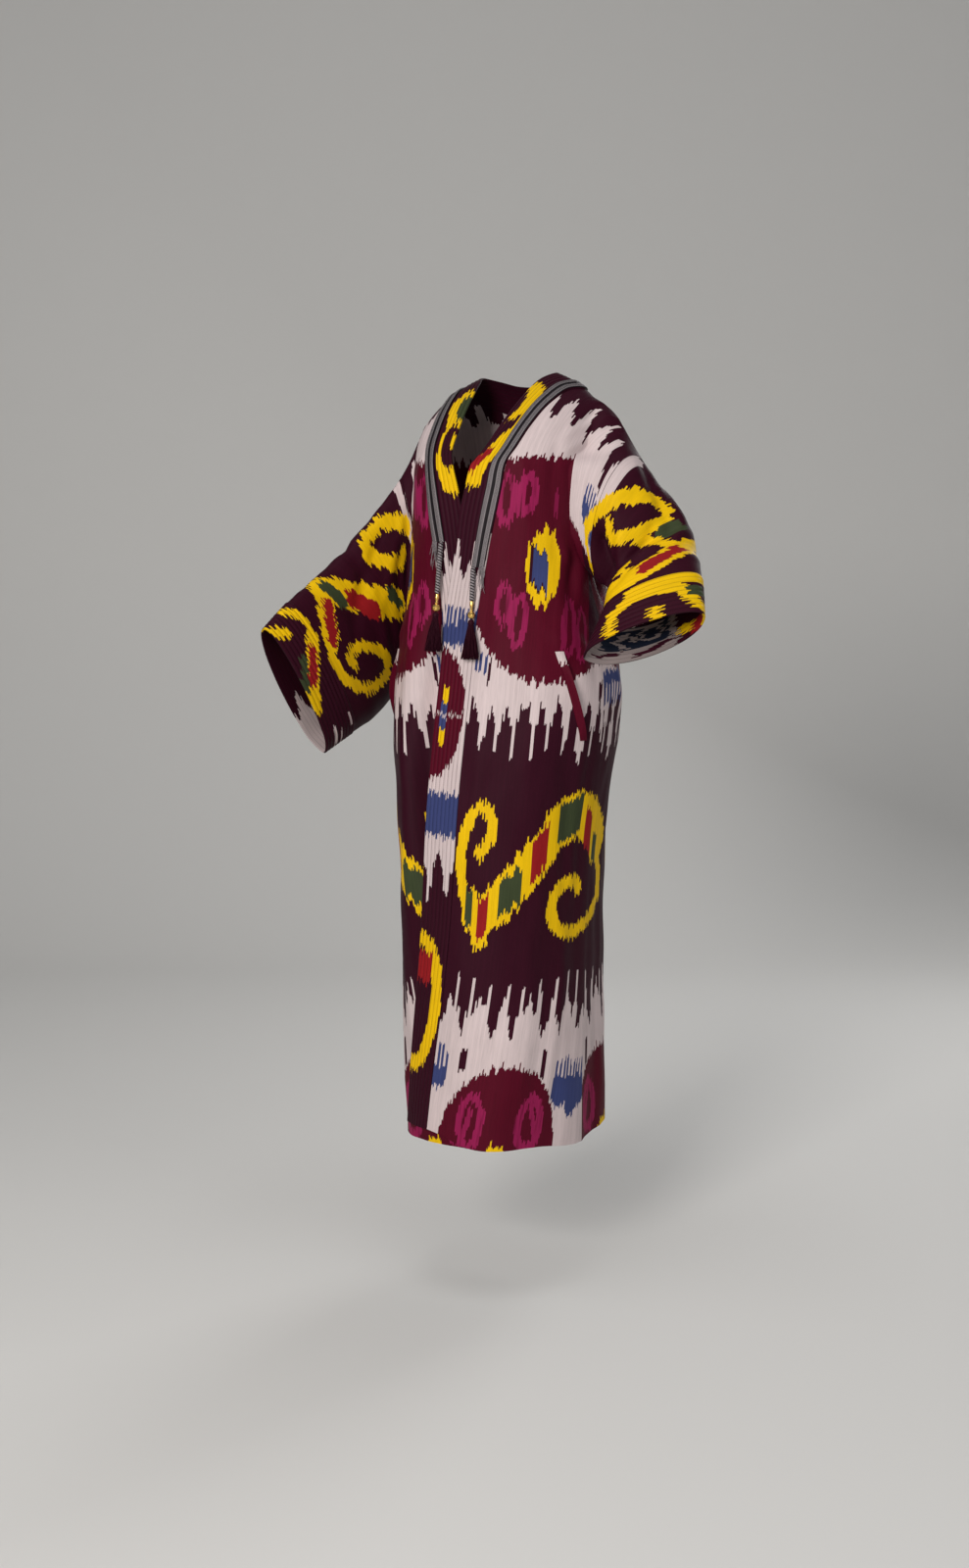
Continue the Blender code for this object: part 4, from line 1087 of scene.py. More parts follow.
def closed_rings(name, rings, material):
    """A mesh through rings of points, with its turns and its length as flat places."""
    count, around = rings.shape[:2]
    mesh = bpy.data.meshes.new(name)
    faces = ring_faces(np.arange(count * around).reshape(count, around))
    mesh.from_pydata(rings.reshape(-1, 3).tolist(), [], faces)
    flat = np.stack(np.broadcast_arrays(np.arange(around) / around, distances(rings.mean(1))[:, None]), 2)
    corners = np.concatenate(faces)
    layer = mesh.uv_layers.new(name="flat")
    layer.data.foreach_set("uv", flat.reshape(-1, 2)[corners].reshape(-1).astype(np.float32))
    mesh.shade_smooth()
    mesh.set_sharp_from_angle(angle=SHARP_RING)
    return piece(name, mesh, material)


def threads(name, roots, feet, radius, wave, steps, material):
    """Many thin waving threads in one mesh, three-sided, each from its root to its foot."""
    t = np.linspace(0, 1, steps)
    angles = ring_angles(3)
    ring = np.stack([np.cos(angles), np.sin(angles), 0 * angles], 1)
    thick = radius * (1 - THREAD_TAPER * t**4)[:, None, None]
    points, faces = [], []
    for k, (root, foot) in enumerate(zip(roots, feet)):
        line = root + (foot - root) * t[:, None]
        for axis, (turn, shift) in enumerate(THREAD_WAVES):
            line[:, axis] += wave * np.sin(turn * t + shift * k) * t
        faces += ring_faces(k * steps * 3 + np.arange(steps * 3).reshape(steps, 3))
        points.append((line[:, None] + thick * ring[None]).reshape(-1, 3))
    mesh = bpy.data.meshes.new(name)
    mesh.from_pydata(np.concatenate(points).tolist(), [], faces)
    mesh.shade_smooth()
    return piece(name, mesh, material)


def build_drop(coat):
    """The wrapped cord, beads and tassel below the braid, and the loose threads beside them."""
    name, side, row = coat.name, coat.side, BRAID_ROW[coat.name]
    column = round(CORD_ACROSS / BAND_WIDTH * 2 * BAND_CHANNELS)
    start = coat.band[row, column] + (QUILT_TOP + CORD_RADIUS) * coat.band_out[row, column]
    top = np.array([start[0] * side, start[1], coat.band[row, column][2] - SEAM])
    cord, tassel = DROPS[name]
    foot_z = top[2] - (cord + BEADS_DROP + tassel)
    foot_y = front_surface(abs(top[0]), foot_z) - DROP_CLEAR
    way = unit(np.array([top[0] + DROP_SHIFT * side, foot_y, foot_z]) - top)
    rng = np.random.default_rng(THREAD_SEED + side)
    build_cord(name, top, way, cord, coat.cloths["cord"])
    build_beads(name, top + way * (cord + SEAM), way, coat.cloths["beads"])
    head = top + way * (cord + BEAD_PROFILE[-1][1] + HEAD_BELOW_BEADS)
    build_tassel(name, head, way, rng, coat.cloths["tassel"])
    build_frayed(coat, row, rng)


def build_cord(name, top, way, length, material):
    run = np.linspace(0, length, CORD_RINGS)[:, None]
    chevron = np.abs((ring_angles(CORD_AROUND) / math.pi + 0.25) % 1.0 - 0.5)
    wraps = 1 + WRAP_RELIEF * np.sin(2 * math.pi * (run / WRAP_LONG + WRAP_LEAN * chevron))
    ends = 1 - (np.abs(run[:, 0] / length - 0.5) * 2) ** CORD_BLUNTNESS
    ends = np.sqrt(np.clip(ends, CORD_TIP, 1))
    rings = lathe(top + way * run, CORD_RADIUS * CORD_CORE * ends, CORD_AROUND, wraps)
    stands_for(closed_rings(f"coat_cord_{name}", rings, material), "metal_braid", f"cord_{name}")


def build_beads(name, top, way, material):
    profile = np.array(BEAD_PROFILE)
    run = distances(profile)
    at = np.linspace(0, run[-1], BEAD_RINGS)
    radius, down = np.interp(at, run, profile[:, 0]), np.interp(at, run, profile[:, 1])
    for _ in range(BEAD_SOFTENING):
        beside = radius[:-2] + radius[2:]
        radius[1:-1] = BEAD_BLUR * beside + (1 - 2 * BEAD_BLUR) * radius[1:-1]
    facets = step(*FACETS_TOP, down) * step(*FACETS_FOOT, down)
    lobes = 1 + FACET_RELIEF * facets[:, None] * np.cos(FACETS * ring_angles(BEAD_AROUND))
    rings = lathe(top + way * down[:, None], np.maximum(radius, BEAD_TIP), BEAD_AROUND, lobes)
    stands_for(closed_rings(f"coat_beads_{name}", rings, material), "gold", f"beads_{name}")


def build_tassel(name, head, way, rng, material):
    """Silk threads that fill the form of the tassel's solid, and the knot in their head."""
    low, high = (np.array(corner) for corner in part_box(f"tassel_{name}"))
    angle = rng.uniform(0, 2 * math.pi, TASSEL_THREADS)
    reach = np.sqrt(rng.uniform(0, 1, TASSEL_THREADS))
    spot = np.stack([reach * np.cos(angle), reach * np.sin(angle)], 1)
    roots = np.concatenate([head[:2] + spot * TASSEL_HEAD, np.full((TASSEL_THREADS, 1), head[2])], 1)
    level = low[2] + TASSEL_LIFT + TASSEL_UNEVEN * rng.uniform(0, 1, TASSEL_THREADS) ** 2
    reach_at_foot = TASSEL_FILL * (high - low)[:2] / 2
    feet = np.concatenate([(low + high)[:2] / 2 + spot * reach_at_foot, level[:, None]], 1)
    silk = threads(f"coat_tassel_{name}", roots, feet, SILK_RADIUS, SILK_WAVE, SILK_STEPS, material)
    stands_for(silk, "tassel_silk", f"tassel_{name}")
    run = np.linspace(0, KNOT_LONG, KNOT_RINGS)
    bulge = KNOT_RADIUS * np.sqrt(1 - (2 * run / KNOT_LONG - 1) ** 2 * KNOT_ROUND)
    rings = lathe(head + way * (run - KNOT_ABOVE)[:, None], bulge, KNOT_AROUND)
    stands_for(closed_rings(f"coat_tassel_head_{name}", rings, material), "tassel_silk")


def build_frayed(coat, row, rng):
    """Loose silver threads where the braid's outer row stops."""
    spots = FRAYED_ACROSS + np.linspace(-FRAYED_REACH, FRAYED_REACH, FRAYED_THREADS)
    cell = np.floor(spots / BAND_WIDTH * 2 * BAND_CHANNELS).astype(int)
    base = on_band(coat.band, row, spots) + FRAYED_LIFT * coat.band_out[row, cell]
    roots = mirrored(base, coat.side)
    lengths = FRAYED_LEAST + FRAYED_MORE * rng.uniform(0, 1, FRAYED_THREADS)
    sideways = coat.side * rng.uniform(*FRAYED_SWING, FRAYED_THREADS)
    forward = FRAYED_FORWARD[0] + FRAYED_FORWARD[1] * rng.uniform(0, 1, FRAYED_THREADS)
    feet = roots + np.stack([sideways, forward, -lengths], 1)
    roots[:, 2] += FRAYED_TUCK
    name = f"coat_loose_threads_{coat.name}"
    frayed = threads(name, roots, feet, METAL_RADIUS, METAL_WAVE, METAL_STEPS, coat.cloths["threads"])
    stands_for(frayed, "metal_braid")


class Value:
    """A node's output, so that node arithmetic is written as plain sums.

    A mask is one inside a shape and nothing outside it: & keeps what lies in both masks,
    | what lies in either, and ~ turns one inside out.
    """

    def __init__(self, maths, socket):
        self.maths, self.socket = maths, socket

    def __add__(self, other):
        return self.maths.do("ADD", self, other)

    def __sub__(self, other):
        return self.maths.do("SUBTRACT", self, other)

    def __rsub__(self, other):
        return self.maths.do("SUBTRACT", other, self)

    def __mul__(self, other):
        return self.maths.do("MULTIPLY", self, other)

    def __truediv__(self, other):
        return self.maths.do("DIVIDE", self, other)

    def __pow__(self, other):
        return self.maths.do("POWER", self, other)

    def __abs__(self):
        return self.maths.do("ABSOLUTE", self)

    def __lt__(self, other):
        return self.maths.do("LESS_THAN", self, other)

    def __gt__(self, other):
        return self.maths.do("GREATER_THAN", self, other)

    def __and__(self, other):
        return self * other

    def __or__(self, other):
        return self.maths.do("MAXIMUM", self, other)

    def __invert__(self):
        return 1.0 - self

    def floor(self):
        return self.maths.do("FLOOR", self)

    def fraction(self):
        return self.maths.do("FRACT", self)

    def clamped(self):
        self.socket.node.use_clamp = True
        return self

    def between(self, low, high):
        return abs(self - (high + low) / 2) < (high - low) / 2


class Maths:
    """Makes a material's nodes. Numbers stay on the sockets that take them."""

    def __init__(self, tree):
        self.tree = tree

    def node(self, kind, **settings):
        made = self.tree.nodes.new(kind)
        for key, value in settings.items():
            setattr(made, key, value)
        return made

    def put(self, socket, value):
        if isinstance(value, Value):
            self.tree.links.new(value.socket, socket)
        else:
            socket.default_value = value

    def feed(self, made, values, output=0):
        """Puts the values on a node's first inputs and gives one of its outputs."""
        for socket, value in zip(made.inputs, values):
            self.put(socket, value)
        return Value(self, made.outputs[output])

    def do(self, operation, *values):
        return self.feed(self.node("ShaderNodeMath", operation=operation), values)

    def vector(self, operation, *values, output="Vector"):
        return self.feed(self.node("ShaderNodeVectorMath", operation=operation), values, output)

    def scaled(self, vector, amount):
        made = self.node("ShaderNodeVectorMath", operation="SCALE")
        self.put(made.inputs["Scale"], amount)
        return self.feed(made, [vector])

    def join(self, x, y):
        return self.feed(self.node("ShaderNodeCombineXYZ"), (x, y, 0.0))

    def split(self, vector):
        made = self.node("ShaderNodeSeparateXYZ")
        x = self.feed(made, [vector])
        return x, Value(self, made.outputs[1])

    def noise(self, place, detail, rough=0.5, scale=1.0, dimensions="3D"):
        made = self.node("ShaderNodeTexNoise", noise_dimensions=dimensions)
        self.put(made.inputs["W" if dimensions == "1D" else "Vector"], place)
        for socket, value in (("Scale", scale), ("Detail", detail), ("Roughness", rough)):
            made.inputs[socket].default_value = value
        return Value(self, made.outputs["Fac"])

    def grain(self, place, often, detail=2.0, rough=0.5):
        """Noise that turns so often in a metre along each axis."""
        return self.noise(self.vector("MULTIPLY", place, often), detail, rough)

    def dice(self, value):
        """A settled random number for each whole number."""
        made = self.node("ShaderNodeTexWhiteNoise", noise_dimensions="1D")
        self.put(made.inputs["W"], value)
        return Value(self, made.outputs["Value"])

    def mix(self, share, low, high):
        made = self.node("ShaderNodeMix", data_type="RGBA")
        self.put(made.inputs["Factor"], share)
        for socket, colour in ((made.inputs[6], low), (made.inputs[7], high)):
            self.put(socket, (*colour, 1.0) if isinstance(colour, tuple) else colour)
        return Value(self, made.outputs[2])


class Ikat:
    """Warp-dyed shapes on flat cloth, dyed one over the other on a ground colour.

    The cloth runs u across and v down the warp, in metres. Each bundle of warp threads
    has slipped a little along the warp, which gives every shape its jagged ends.
    """

    def __init__(self, maths, u, v, ground, bundle_width=WARP_BUNDLE):
        self.maths, self.colour = maths, ground
        self.bundle = (u / bundle_width).floor()
        slip = maths.dice(self.bundle) - 0.5
        drift = maths.noise(self.bundle, 1.0, scale=DRIFT_SCALE, dimensions="1D") - 0.5
        fine = maths.dice((u / (bundle_width / 4)).floor())
        self.u = (self.bundle + 0.5) * bundle_width
        self.v = v + (slip * JAG + drift * DRIFT + fine * FINE_JAG)
        self.at = maths.join(self.u, self.v)

    def dye(self, colour, *shapes, within=None):
        """Dyes the shapes, only as far as a mask lets it where one is given."""
        mask = shapes[0]
        for shape in shapes[1:]:
            mask = mask | shape
        if within is not None:
            mask = mask & within
        self.colour = self.maths.mix(mask, self.colour, colour)

    def spot(self, u, v, half_u, half_v, power=2.0):
        """An oval, or a squarer shape where the power is higher."""
        away = self.maths.vector("SUBTRACT", self.at, (u, v, 0.0))
        away = self.maths.vector("MULTIPLY", away, (1 / half_u, 1 / half_v, 0.0))
        if power == 2.0:
            return self.maths.vector("LENGTH", away, output="Value") < 1.0
        x, y = self.maths.split(self.maths.vector("ABSOLUTE", away))
        return x**power + y**power < 1.0

    def ring(self, u, v, half_u, half_v, thick, power=2.0):
        """A spot with a hollow middle."""
        hollow = self.spot(u, v, half_u - thick, half_v - RING_ENDS * thick, power)
        return self.spot(u, v, half_u, half_v, power) & ~hollow

    def slab(self, u, v, half_u, half_v, lean):
        """A patch with upright sides and ends that slant by so much."""
        level = self.v - (self.u - u) * lean
        return self.u.between(u - half_u, u + half_u) & level.between(v - half_v, v + half_v)

    def bar(self, u, v, half_u, half_v):
        """A patch with upright sides and level ends."""
        return self.u.between(u - half_u, u + half_u) & self.v.between(v - half_v, v + half_v)

    def stroke(self, points, half_width):
        """A thick line through points."""
        pieces = []
        for (u, v), (next_u, next_v) in zip(points, points[1:]):
            run = (next_u - u, next_v - v, 0.0)
            away = self.maths.vector("SUBTRACT", self.at, (u, v, 0.0))
            share = self.maths.vector("DOT_PRODUCT", away, run, output="Value")
            share = (share / (run[0] ** 2 + run[1] ** 2)).clamped()
            nearest = self.maths.scaled(run, share)
            pieces.append(self.maths.vector("DISTANCE", away, nearest, output="Value") < half_width)
        line = pieces[0]
        for piece_of_line in pieces[1:]:
            line = line | piece_of_line
        return line

    def patchy(self):
        """Streaks along the warp where the dye took less well."""
        return (self.maths.grain(self.at, PATCH_GRAIN, 1.0) * PATCH_STRENGTH - PATCH_LEAST).clamped()

    def tines(self, gap):
        """Narrow upright stripes."""
        return (self.u / gap).fraction() > TINE_SHARE

    def comb(self, base, height, upward, gap, shift, sharpness=1.8):
        """Everything on the far side of a row of long teeth that start at the base line."""
        column = (self.u / TOOTH_STEP).floor()
        count = ((column + 0.5) * TOOTH_STEP + shift) / gap
        number = count.floor()
        lot = self.maths.dice(number + TOOTH_SEED)
        sway = (lot * TOOTH_SHUFFLE).fraction() * TOOTH_SWAY
        from_middle = (count - number) * 2.0 + (sway - TOOTH_MIDDLE)
        tooth = (1.0 - abs(from_middle)).clamped() ** sharpness
        tooth = tooth + self.maths.dice(column + RAGGED_SEED) * TOOTH_RAGGEDNESS
        reach = tooth * (lot * TOOTH_MORE + TOOTH_LEAST) * height
        return self.v + reach > base if upward else self.v - reach < base


# The dyes. A shape's numbers are its place (u, v), its half width and half height (u, v) and
# then its thickness, power or lean; a stroke's are the points of its line and its half width.


def chest_dye(maths, u, v):
    """The panels' upper part: a white field between two rows of teeth, and a dark red shield."""
    k = Ikat(maths, u, abs(v), AUBERGINE)
    arm = (k.u - 0.1).clamped()
    shoulder = k.comb(arm * 0.45 + 0.108, arm * 0.48 + 0.082, True, 0.04, 0.008, 1.0)
    k.dye(WHITE, shoulder & k.comb(0.572, 0.086, False, 0.0285, 0.0163))
    side_cut = (k.u > 0.152) & (k.v < 0.262)
    low_edge = k.spot(0.135, 0.345, 0.158, 0.202) | (k.v < 0.4)
    shield = k.spot(0.122, 0.355, 0.148, 0.19, 3.2) & (k.v > 0.168) & ~side_cut & low_edge
    k.dye(DARK_RED, shield)
    # Aubergine under the arm where the shield stops: partly the ground colour, partly painted shade of the
    # hollow between body and sleeve
    k.dye(AUBERGINE, (k.u > 0.203) & k.v.between(0.268, 0.512))
    k.dye(
        MAGENTA,
        k.ring(0.037, 0.242, 0.0165, 0.043, 0.0108),
        k.ring(0.071, 0.23, 0.0185, 0.035, 0.0135),
        k.stroke([(0.046, 0.212), (0.06, 0.262)], 0.006),
        k.ring(0.044, 0.414, 0.015, 0.037, 0.0102),
        k.ring(0.071, 0.442, 0.016, 0.047, 0.0106),
        k.stroke([(0.052, 0.398), (0.06, 0.462)], 0.0045),
        within=shield & k.patchy(),
    )
    k.dye(
        MAGENTA,
        k.ring(0.158, 0.452, 0.016, 0.05, 0.0105, 2.4),
        k.ring(0.186, 0.47, 0.013, 0.046, 0.0075, 2.4),
        k.bar(0.122, 0.25, 0.004, 0.02),
        within=shield & k.patchy() * FAINT,
    )
    k.dye(YELLOW, k.slab(0.103, 0.352, 0.0255, 0.036, 0.25), k.spot(0.105, 0.352, 0.03, 0.066, 1.9))
    k.dye(AUBERGINE, k.slab(0.0975, 0.356, 0.015, 0.033, 0.7))
    k.dye(BLUE, k.slab(0.099, 0.355, 0.0135, 0.029, 0.7))
    k.dye(WHITE, k.bar(0.202, 0.642, 0.0098, 0.02), k.bar(0.2035, 0.668, 0.004, 0.014))
    k.dye(AUBERGINE, k.bar(0.031, 0.526, 0.003, 0.02), k.bar(0.243, 0.56, 0.0042, 0.016))
    side_fringe = (k.v < 0.556) | k.tines(0.01)
    arm_fringe = (k.v > 0.188) | k.tines(0.0092)
    k.dye(
        BLUE,
        k.bar(0.01, 0.516, 0.016, 0.016) & k.tines(0.0088),
        k.v.between(0.535, 0.592) & (k.u > 0.176) & (v < 0.0) & side_fringe,
        k.spot(0.226, 0.192, 0.032, 0.036, 3.0) & arm_fringe,
    )
    k.dye(YELLOW, k.stroke([(0.24, 0.26), (0.219, 0.222), (0.232, 0.196), (0.256, 0.148)], 0.0095))
    return k


def skirt_dye(maths, u, v):
    """The panels' middle: a hooked scroll that runs on round the side."""
    to_mirror = 2 * PANEL_EDGE_U - u * 2.0
    k = Ikat(maths, u + (v < 0.0) * to_mirror, abs(v), AUBERGINE)
    k.dye(
        YELLOW,
        k.stroke([(0.042, 0.833), (0.06, 0.806), (0.062, 0.775), (0.046, 0.752),
                  (0.029, 0.762), (0.017, 0.792), (0.011, 0.83), (0.013, 0.872), (0.024, 0.915)], 0.0088),
        k.stroke([(0.032, 0.905), (0.046, 0.945), (0.052, 0.975)], 0.0145),
        k.stroke([(0.048, 0.935), (0.072, 0.922), (0.103, 0.884), (0.143, 0.834), (0.185, 0.79)], 0.03),
        k.stroke([(0.185, 0.787), (0.226, 0.771), (0.268, 0.786), (0.306, 0.822)], 0.039),
        k.stroke([(0.318, 0.84), (0.333, 0.88), (0.33, 0.92), (0.3, 0.95), (0.262, 0.962),
                  (0.225, 0.974), (0.19, 0.965), (0.173, 0.938), (0.178, 0.907),
                  (0.202, 0.888), (0.233, 0.886), (0.238, 0.898)], 0.0105),
        k.ring(0.44, 0.85, 0.052, 0.085, 0.014),
    )
    k.dye(
        GREEN,
        k.slab(0.031, 0.922, 0.0062, 0.03, 0.9),
        k.slab(0.097, 0.893, 0.0185, 0.03, -0.7),
        k.slab(0.206, 0.78, 0.0275, 0.033, -0.4),
        k.slab(0.3, 0.835, 0.01, 0.024, 0.8),
        k.spot(0.44, 0.85, 0.018, 0.036),
    )
    k.dye(
        RED,
        k.slab(0.055, 0.938, 0.0085, 0.033, -0.5),
        k.slab(0.144, 0.832, 0.0155, 0.036, -1.1),
        k.slab(0.262, 0.806, 0.0165, 0.034, 0.7),
        k.spot(0.438, 0.85, 0.009, 0.02),
    )
    return k


def hem_dye(maths, u, v):
    """The panels' foot: a toothed white field with blue patches, and a dark red medallion."""
    k = Ikat(maths, u, abs(v), AUBERGINE)
    k.dye(WHITE, k.comb(1.152, 0.104, True, 0.029, 0.019), k.comb(1.156, 0.084, True, 0.0455, 0.005))
    k.dye(
        BLUE,
        k.spot(0.01, 1.196, 0.0165, 0.036, 3.2),
        k.spot(0.243, 1.226, 0.023, 0.04, 3.2),
        k.spot(0.271, 1.242, 0.018, 0.045, 3.2),
        k.spot(0.297, 1.234, 0.015, 0.04, 3.2),
        within=k.tines(0.0088) | (k.v - k.u * 0.1 > 1.192),
    )
    k.dye(AUBERGINE, k.bar(0.053, 1.176, 0.006, 0.018), k.bar(0.196, 1.19, 0.0032, 0.024))
    dome = k.spot(0.13, 1.335, 0.108, 0.147)
    k.dye(DARK_RED, dome)
    k.dye(
        MAGENTA,
        k.ring(0.08, 1.282, 0.025, 0.05, 0.013),
        k.stroke([(0.08, 1.262), (0.07, 1.318)], 0.0045),
        k.ring(0.184, 1.29, 0.028, 0.05, 0.0145),
        k.stroke([(0.184, 1.262), (0.2, 1.322)], 0.005),
        within=dome & k.patchy(),
    )
    k.dye(YELLOW, k.spot(0.129, 1.352, 0.022, 0.032))
    return k


def band_ground(maths, u, v):
    """What the two quilted edge bands have in common, from the chest to the hem."""
    k = Ikat(maths, u, v, AUBERGINE, BAND_BUNDLE)
    k.dye(WHITE, k.comb(0.432, 0.07, True, 0.027, 0.004) & (k.v < 0.8))
    k.dye(WHITE, (k.v > 0.74) & k.comb(0.872, 0.09, False, 0.031, 0.0))
    fringe = (k.v > 0.5) | k.tines(0.0078)
    k.dye(
        BLUE,
        k.v.between(0.476, 0.538) & k.spot(0.034, 0.507, 0.036, 0.044, 4.0) & fringe,
        k.v.between(0.782, 0.852) & k.spot(0.034, 0.817, 0.036, 0.044, 4.0),
    )
    k.dye(DARK_RED, k.spot(-0.004, 0.652, 0.06, 0.108, 2.2))
    k.dye(YELLOW, k.bar(0.0175, 0.656, 0.0056, 0.048))
    k.dye(BLUE, k.bar(0.0175, 0.656, 0.006, 0.022))
    k.dye(WHITE, k.v.between(0.652, 0.6575), within=(maths.dice(k.bundle) > 0.3) * THREAD_SHOWS)
    k.dye(YELLOW, k.ring(0.004, 1.14, 0.056, 0.122, 0.0215, 2.2))
    k.dye(RED, k.bar(0.018, 1.078, 0.015, 0.026))
    k.dye(AUBERGINE, k.spot(0.008, 1.16, 0.026, 0.06))
    return k


def left_band_dye(maths, u, v):
    """The left band's neck: a hooked curve and a leaf with a red middle."""
    k = band_ground(maths, u, v)
    k.dye(
        YELLOW,
        k.spot(0.014, 0.098, 0.026, 0.046) & ~k.spot(-0.01, 0.112, 0.026, 0.044),
        k.stroke([(0.033, 0.11), (0.0365, 0.15), (0.0365, 0.2)], 0.003),
        k.stroke([(0.034, 0.182), (0.022, 0.222), (0.012, 0.262)], 0.015),
    )
    k.dye(RED, k.stroke([(0.018, 0.212), (0.006, 0.246)], 0.0075))
    return k


def right_band_dye(maths, u, v):
    """The right band's neck: a leaf with a green middle over an open cup."""
    k = band_ground(maths, u, v)
    k.dye(
        YELLOW,
        k.spot(0.01, 0.11, 0.024, 0.05),
        k.stroke([(0.018, 0.14), (0.026, 0.18), (0.026, 0.225)], 0.0042),
        k.spot(0.008, 0.235, 0.026, 0.052) & (k.v > 0.215),
    )
    k.dye(AUBERGINE, k.spot(0.009, 0.196, 0.015, 0.05))
    k.dye(YELLOW, k.bar(0.002, 0.184, 0.0035, 0.016))
    k.dye(GREEN, k.spot(0.006, 0.106, 0.011, 0.03))
    return k


def left_sleeve_dye(maths, u, v):
    """The left sleeve and cuff: a hooked scroll, a bent ring and a band."""
    k = Ikat(maths, u, v, AUBERGINE)
    k.dye(WHITE, k.stroke([(0.252, 0.036), (0.25, 0.145)], 0.01))
    k.dye(
        YELLOW,
        k.stroke([(0.219, 0.222), (0.232, 0.196), (0.256, 0.148), (0.272, 0.115), (0.289, 0.082),
                  (0.304, 0.054), (0.321, 0.036), (0.338, 0.045), (0.34, 0.068), (0.331, 0.098),
                  (0.318, 0.128), (0.298, 0.155), (0.28, 0.168), (0.276, 0.156)], 0.009),
        k.stroke([(0.33, 0.116), (0.35, 0.098), (0.378, 0.078), (0.404, 0.058),
                  (0.41, 0.03), (0.388, 0.006)], 0.011),
        k.stroke([(0.436, 0.186), (0.439, 0.132), (0.432, 0.088), (0.418, 0.052), (0.402, 0.024)], 0.018),
        k.spot(0.402, 0.15, 0.02, 0.0135),
        k.bar(0.4725, 0.058, 0.0105, 0.078),
        k.stroke([(0.556, 0.16), (0.5, 0.158), (0.486, 0.132), (0.484, 0.085), (0.492, 0.045),
                  (0.52, 0.018), (0.538, -0.004), (0.53, -0.036), (0.517, -0.064)], 0.01),
        k.bar(0.537, 0.081, 0.019, 0.0105),
        k.ring(0.36, -0.085, 0.042, 0.06, 0.013, 2.4),
    )
    k.dye(
        GREEN,
        k.spot(0.357, 0.052, 0.0135, 0.026, 3.0),
        k.spot(0.498, 0.018, 0.012, 0.015, 3.0),
        k.spot(0.36, -0.085, 0.014, 0.026),
    )
    red_line = k.stroke([(0.433, 0.106), (0.427, 0.076), (0.414, 0.048)], 0.0105)
    k.dye(RED, red_line, k.spot(0.531, -0.03, 0.014, 0.019))
    k.dye(WHITE, k.comb(-0.15, 0.06, False, 0.036, 0.004) & (k.u > 0.3) & (k.v > -0.196))
    # The cuff's inside rim: its white is partly a duller lining and partly painted shade
    rim = (k.v < -0.075) & (k.u > 0.47)
    k.dye(DULL_AND_SHADED_WHITE, rim)
    k.dye(
        AUBERGINE,
        k.stroke([(0.524, -0.09), (0.534, -0.15)], 0.0046),
        k.stroke([(0.522, -0.176), (0.53, -0.215)], 0.003),
        within=rim,
    )
    swirl = k.ring(0.493, -0.118, 0.017, 0.021, 0.0055)
    swirl = swirl | k.stroke([(0.5, -0.145), (0.486, -0.16), (0.5, -0.178), (0.514, -0.165)], 0.0042)
    swirl = swirl | k.stroke([(0.476, -0.1), (0.476, -0.19)], 0.0024)
    # Painted shade: the cuff's inside blue, darkened
    k.dye(SHADED_CUFF_BLUE, k.u.between(0.466, 0.519) & k.v.between(-0.205, -0.088), within=rim & ~swirl)
    return k


def right_sleeve_dye(maths, u, v):
    """The right sleeve and cuff: an open ring, a hooked scroll with filled steps, and a leaf."""
    k = Ikat(maths, u, v, AUBERGINE)
    k.dye(WHITE, k.stroke([(0.262, 0.004), (0.25, 0.13)], 0.0085))
    k.dye(
        YELLOW,
        k.stroke([(0.255, 0.086), (0.272, 0.063), (0.3, 0.038), (0.325, 0.022), (0.352, 0.017),
                  (0.373, 0.022), (0.38, 0.038), (0.368, 0.055), (0.352, 0.076), (0.332, 0.094),
                  (0.31, 0.104), (0.296, 0.096)], 0.012),
        k.stroke([(0.502, 0.026), (0.47, 0.05), (0.44, 0.082), (0.408, 0.115), (0.368, 0.146)], 0.027),
        k.stroke([(0.505, 0.034), (0.53, 0.06), (0.552, 0.098)], 0.019),
        k.stroke([(0.557, 0.1), (0.572, 0.13), (0.568, 0.162), (0.554, 0.194), (0.534, 0.218),
                  (0.506, 0.232), (0.48, 0.231), (0.463, 0.218), (0.458, 0.196), (0.473, 0.17),
                  (0.496, 0.15), (0.522, 0.142), (0.536, 0.152), (0.533, 0.166)], 0.0098),
        k.stroke([(0.606, 0.004), (0.59, 0.022), (0.58, 0.046), (0.587, 0.072)], 0.007),
        k.stroke([(0.59, 0.076), (0.609, 0.097), (0.636, 0.13), (0.65, 0.168)], 0.016),
        k.stroke([(0.655, 0.01), (0.628, 0.034)], 0.0085),
        k.ring(0.38, -0.11, 0.044, 0.06, 0.013, 2.4),
    )
    k.dye(
        GREEN,
        k.stroke([(0.492, 0.024), (0.484, 0.044), (0.482, 0.064)], 0.0125),
        k.stroke([(0.378, 0.116), (0.362, 0.15)], 0.011),
        k.stroke([(0.628, 0.088), (0.654, 0.132)], 0.0085),
        k.spot(0.38, -0.11, 0.015, 0.026),
    )
    k.dye(
        RED,
        k.stroke([(0.455, 0.07), (0.444, 0.09), (0.434, 0.112)], 0.0165),
        k.stroke([(0.514, 0.048), (0.532, 0.074), (0.55, 0.102)], 0.0115),
        k.stroke([(0.602, 0.088), (0.616, 0.108), (0.632, 0.13)], 0.01),
    )
    k.dye(
        WHITE,
        k.bar(0.586, 0.247, 0.003, 0.014),
        k.bar(0.612, 0.255, 0.0028, 0.012),
        k.bar(0.628, 0.246, 0.0034, 0.018),
        k.comb(-0.205, 0.06, False, 0.036, 0.004),
    )
    return k


def welt_dye(maths, u, v):
    """Plain dark red with an undyed end at the top."""
    k = Ikat(maths, u, v, DARK_RED)
    k.dye(WHITE, k.v < -0.128)
    return k


def start_material(name, **values):
    """A new material with numbers set on its shader, given by socket names in lower case."""
    material = bpy.data.materials.new(name)
    material.use_nodes = True
    shader = material.node_tree.nodes["Principled BSDF"]
    for key, value in values.items():
        shader.inputs[SOCKETS[key]].default_value = value
    return material, Maths(material.node_tree), shader


